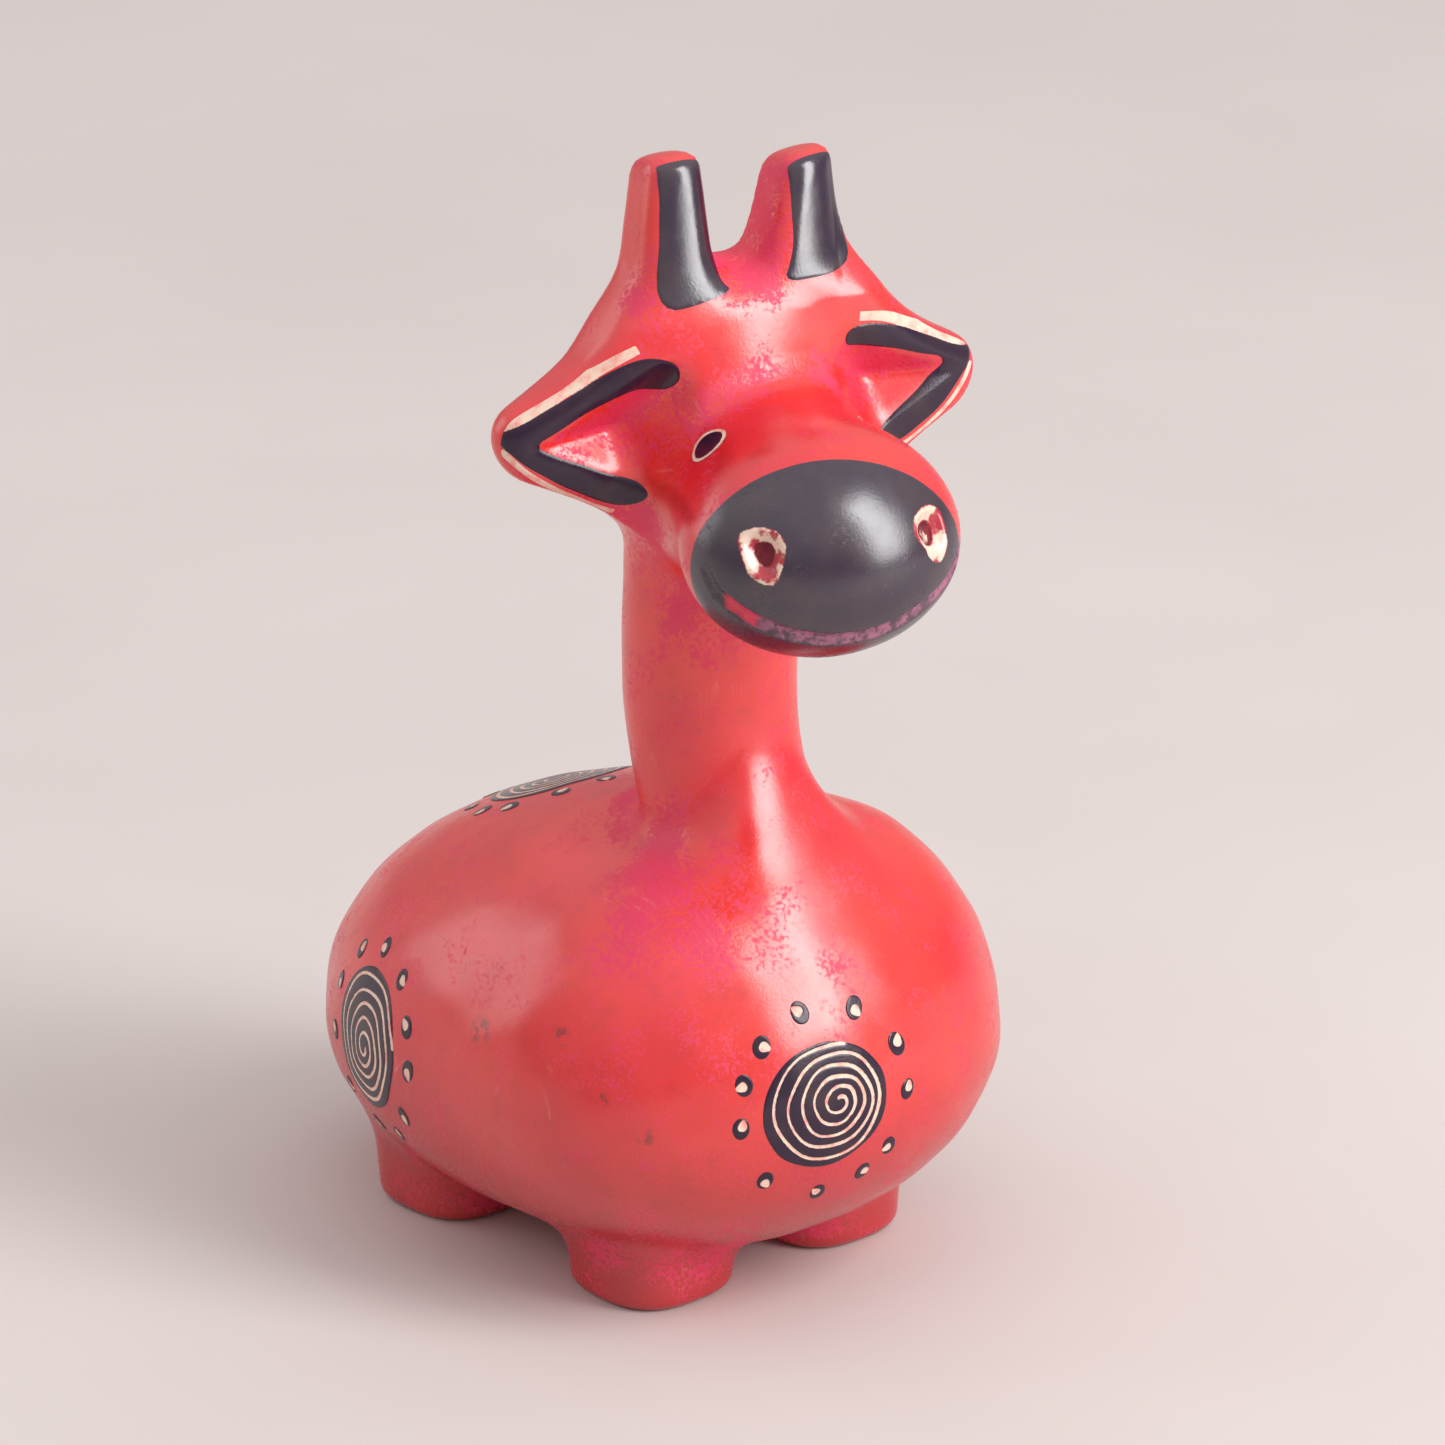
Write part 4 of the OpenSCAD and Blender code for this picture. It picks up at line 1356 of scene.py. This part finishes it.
# Refractive index: waxed and polished surfaces shine more than brushed paint
POLISHED = 1.85
BRUSHED = 1.5
RED = srgb(222, 26, 38)
ORANGE = srgb(234, 50, 40)
BRICK = srgb(176, 26, 38)
ROSE = srgb(236, 42, 72)
MAGENTA = srgb(224, 18, 82)
SPECK = srgb(96, 26, 36)
SCRATCH = srgb(244, 140, 128)
BLACK = srgb(40, 20, 46)
WORN_BLACK = srgb(64, 44, 50)
PURPLE = srgb(150, 44, 128)
MAUVE = srgb(164, 92, 122)
CREAM = srgb(240, 210, 190)
RESIDUE = srgb(178, 22, 46)
DEEP_RED = srgb(120, 10, 34)


def dark_paint(f):
    """Colour of the dark paint: purple black, thinner and browner in places."""
    thin = f.ramp(f.noise(3.5, 3.0), 0.4, 0.7)
    colour = f.mix(f.times(thin, 0.6), BLACK, WORN_BLACK)
    rubbed = f.times(f.ramp(f.noise(0.7, 4.0, 0.6), 0.66, 0.74), f.ramp(f.noise(2.6), 0.5, 0.62))
    return f.mix(f.times(rubbed, 0.6), colour, PURPLE)


def dyed_stone():
    f = Finish("dyed_stone")
    # The dye guide also carries painted light: less dye on ear walls that face up, and painted shade in
    # the nostril holes.
    dye = f.guide("dye")
    fine = f.noise(0.8, 4.0, 0.6)
    middling = f.noise(4.0, 3.0)
    scratchy = f.ramp(f.noise(0.4, 3.0, 0.7), 0.36, 0.64)
    colour = f.mix(f.ramp(f.noise(17.0, 3.0), 0.35, 0.65), RED, ORANGE)
    mottled = f.ramp(f.noise(2.4, 5.0, 0.65), 0.48, 0.78)
    colour = f.mix(f.times(mottled, 0.4), colour, BRICK)
    # Brick red mixed in towards the bottom: painted shade under the belly, and the darker dye of the
    # feet.
    colour = f.mix(f.times(f.ramp(f.height(), 30.0, 6.0), 0.75), colour, BRICK)
    rosy = f.ramp(f.noise(9.0, 2.0), 0.52, 0.75)
    colour = f.mix(f.times(rosy, 0.3), colour, ROSE)
    uneven = f.sum(f.scaled(scratchy, -0.4, 0.4), f.scaled(f.ramp(middling, 0.35, 0.65), -0.3, 0.3))
    dyed_with_painted_light = f.ramp(f.sum(dye, uneven), 0.3, 0.75)
    colour = f.mix(f.times(dyed_with_painted_light, 0.9), colour, MAGENTA)
    # Deep red in the nostril holes: dye with painted shade.
    hole_dye_and_shade = f.ramp(dye, 1.3, 1.8)
    colour = f.mix(hole_dye_and_shade, colour, DEEP_RED)
    lip = f.mix(f.times(f.ramp(fine, 0.42, 0.62), 0.8), MAUVE, BLACK)
    rubbed = f.sum(f.guide("lip"), f.scaled(f.ramp(middling, 0.35, 0.65), -0.25, 0.25))
    colour = f.mix(f.ramp(rubbed, 0.3, 0.6), colour, lip)
    smudged = f.times(f.ramp(dye, -0.1, -0.8), f.ramp(fine, 0.48, 0.58))
    colour = f.mix(f.times(smudged, 0.6), colour, SPECK)
    flecks = f.times(f.ramp(f.noise(0.9, 3.0), 0.69, 0.74), f.ramp(f.noise(7.0), 0.52, 0.62))
    colour = f.mix(f.times(flecks, 0.8), colour, MAGENTA)
    smudges = f.times(f.ramp(f.noise(0.7, 4.0, 0.7), 0.66, 0.72), f.ramp(f.noise(11.0), 0.55, 0.66))
    colour = f.mix(f.times(smudges, 0.6), colour, SPECK)
    for turn in ((0, 25, 40), (60, 10, -30)):
        line = f.noise(1.0, 1.0, 0.5, (0.7, 14.0, 14.0), turn)
        thin = f.times(f.ramp(line, 0.49, 0.5), f.ramp(line, 0.51, 0.5))
        colour = f.mix(f.times(f.times(thin, f.ramp(f.noise(5.0, 2.0), 0.6, 0.7)), 0.3), colour, SCRATCH)
    painted = f.ramp(f.sum(f.guide("paint"), f.scaled(middling, -0.25, 0.25)), -0.12, 0.14)
    colour = f.mix(painted, colour, dark_paint(f))
    scraped = f.ramp(f.sum(f.guide("bare"), f.scaled(fine, -0.35, 0.35)), -0.05, 0.1)
    colour = f.mix(scraped, colour, f.mix(f.ramp(f.noise(2.6, 4.0, 0.6), 0.46, 0.54), CREAM, RESIDUE))
    rough = f.scaled(f.noise(1.6, 4.0), 0.18, 0.33)
    rough = f.sum(rough, f.times(f.sum(dyed_with_painted_light, hole_dye_and_shade), 0.4))
    chisel = f.times(scratchy, f.ramp(dye, 0.1, 0.9))
    normal = f.bump(f.noise(0.25, 3.0, 0.6), 0.012)
    normal = f.bump(chisel, 0.022, normal)
    return f.finish(colour, rough, normal, POLISHED)


def paint_coat(name, polish):
    f = Finish(name)
    scraped = f.ramp(f.sum(f.guide("bare"), f.scaled(f.noise(0.3, 3.0), -0.05, 0.05)), -0.03, 0.03)
    pale = f.mix(f.ramp(f.noise(0.9, 3.0), 0.42, 0.8), CREAM, SCRATCH)
    colour = f.mix(scraped, dark_paint(f), pale)
    rough = f.sum(f.scaled(f.noise(1.2, 4.0), 0.14, 0.3), f.times(scraped, 0.25))
    return f.finish(colour, rough, f.bump(f.noise(0.2, 3.0), 0.012), polish)


# Camera fitted to the photograph
IMAGE_SIDE = 1445
FOCAL_PX = 11100
VIEW_AZIMUTH = -42.0
VIEW_ELEVATION = 21.7
GROUND_PX = (638, 1206)
MM_PER_PX = 0.0877
SENSOR = 36
NEAREST = 0.05
FARTHEST = 20


def towards(azimuth, elevation):
    """The direction of something seen at these angles; azimuth 0 is straight in front."""
    a, e = math.radians(azimuth), math.radians(elevation)
    return Vector((math.sin(a) * math.cos(e), -math.cos(a) * math.cos(e), math.sin(e)))


def make_camera():
    back = towards(VIEW_AZIMUTH, VIEW_ELEVATION)
    facing = (-back).to_track_quat("-Z", "Y")
    right = facing @ Vector((1, 0, 0))
    up = facing @ Vector((0, 1, 0))
    away = FOCAL_PX * MM_PER_PX
    across = (GROUND_PX[0] - IMAGE_SIDE / 2) * MM_PER_PX
    rise = (IMAGE_SIDE / 2 - GROUND_PX[1]) * MM_PER_PX
    place = Vector(GROUND) - right * across - up * rise + back * away
    lens = bpy.data.cameras.new("camera")
    lens.sensor_width = SENSOR
    lens.lens = lens.sensor_width * FOCAL_PX / IMAGE_SIDE
    lens.clip_start = NEAREST
    lens.clip_end = FARTHEST
    camera = link("camera", lens)
    camera.location = place * MM
    camera.rotation_mode = "QUATERNION"
    camera.rotation_quaternion = facing
    bpy.context.scene.camera = camera


# Light: a tall window in front, a weaker one behind and pale surroundings.
# A lamp is a name, azimuth, elevation, distance, width and height in mm, and radiance.
LIGHT_AIM = Vector((0, 0, 45))
LAMPS = (
    ("window", 20, 31, 700, 280, 660, 7.6),
    ("side_window", -150, 18, 700, 440, 400, 1.1),
)
SURROUNDINGS = (0.32, 0.87)
SKY_FULL_AT = 0.8
SKY_COLOUR = srgb(255, 250, 251)


def make_light():
    for name, azimuth, elevation, away, wide, tall, radiance in LAMPS:
        light = bpy.data.lights.new(name, "AREA")
        light.shape = "RECTANGLE"
        light.size = wide * MM
        light.size_y = tall * MM
        light.energy = radiance * math.pi * light.size * light.size_y
        lamp = link(name, light)
        out = towards(azimuth, elevation)
        lamp.location = (Vector(GROUND) + LIGHT_AIM + out * away) * MM
        lamp.rotation_mode = "QUATERNION"
        lamp.rotation_quaternion = (-out).to_track_quat("-Z", "Y")
    world = bpy.data.worlds.new("surroundings")
    world.use_nodes = True
    tree = world.node_tree
    sky = tree.nodes["Background"]
    sky.inputs["Color"].default_value = SKY_COLOUR
    where = tree.nodes.new("ShaderNodeTexCoord")
    parts = tree.nodes.new("ShaderNodeSeparateXYZ")
    rise = tree.nodes.new("ShaderNodeMapRange")
    rise.inputs["From Max"].default_value = SKY_FULL_AT
    rise.inputs["To Min"].default_value = SURROUNDINGS[0]
    rise.inputs["To Max"].default_value = SURROUNDINGS[1]
    tree.links.new(where.outputs["Generated"], parts.inputs[0])
    tree.links.new(parts.outputs["Z"], rise.inputs["Value"])
    tree.links.new(rise.outputs[0], sky.inputs["Strength"])
    bpy.context.scene.world = world


FLOOR_HALF = 4.0
FLOOR_SQUARES = 8
FLOOR_COLOURS = (srgb(208, 200, 196), srgb(218, 211, 207))
FLOOR_PATCH = 60.0
FLOOR_ROUGH = 0.85


def make_floor():
    bm = bmesh.new()
    bmesh.ops.create_grid(bm, x_segments=FLOOR_SQUARES, y_segments=FLOOR_SQUARES, size=FLOOR_HALF)
    mesh = bpy.data.meshes.new("floor")
    bm.to_mesh(mesh)
    bm.free()
    floor = link("floor", mesh)
    f = Finish("pale_floor")
    f.feed(f.shader.inputs["Base Color"], f.mix(f.noise(FLOOR_PATCH, 3.0), *FLOOR_COLOURS))
    f.shader.inputs["Roughness"].default_value = FLOOR_ROUGH
    mesh.materials.append(f.material)


make_camera()
make_light()
make_floor()
stone_finish = dyed_stone()
polished_paint = paint_coat("polished_paint", POLISHED)
brushed_paint = paint_coat("brushed_paint", BRUSHED)


def hand_over(piece, node, finish):
    piece.data.materials.append(finish)
    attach(piece, "root")
    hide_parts(node)


for node, piece in stone_pieces().items():
    hand_over(piece, node, stone_finish)
for place in DISCS:
    hand_over(disc_film(place), place + "_disc", brushed_paint)
    hand_over(dots_film(place), place + "_dots", brushed_paint)
for word in ("right", "left"):
    hand_over(eye_film(word), word + "_eye", brushed_paint)
    hand_over(stroke_film(word), word + "_ear_strokes", brushed_paint)
    hand_over(horn_film(word), word + "_horn_paint", polished_paint)

bpy.context.scene.view_settings.view_transform = "Standard"
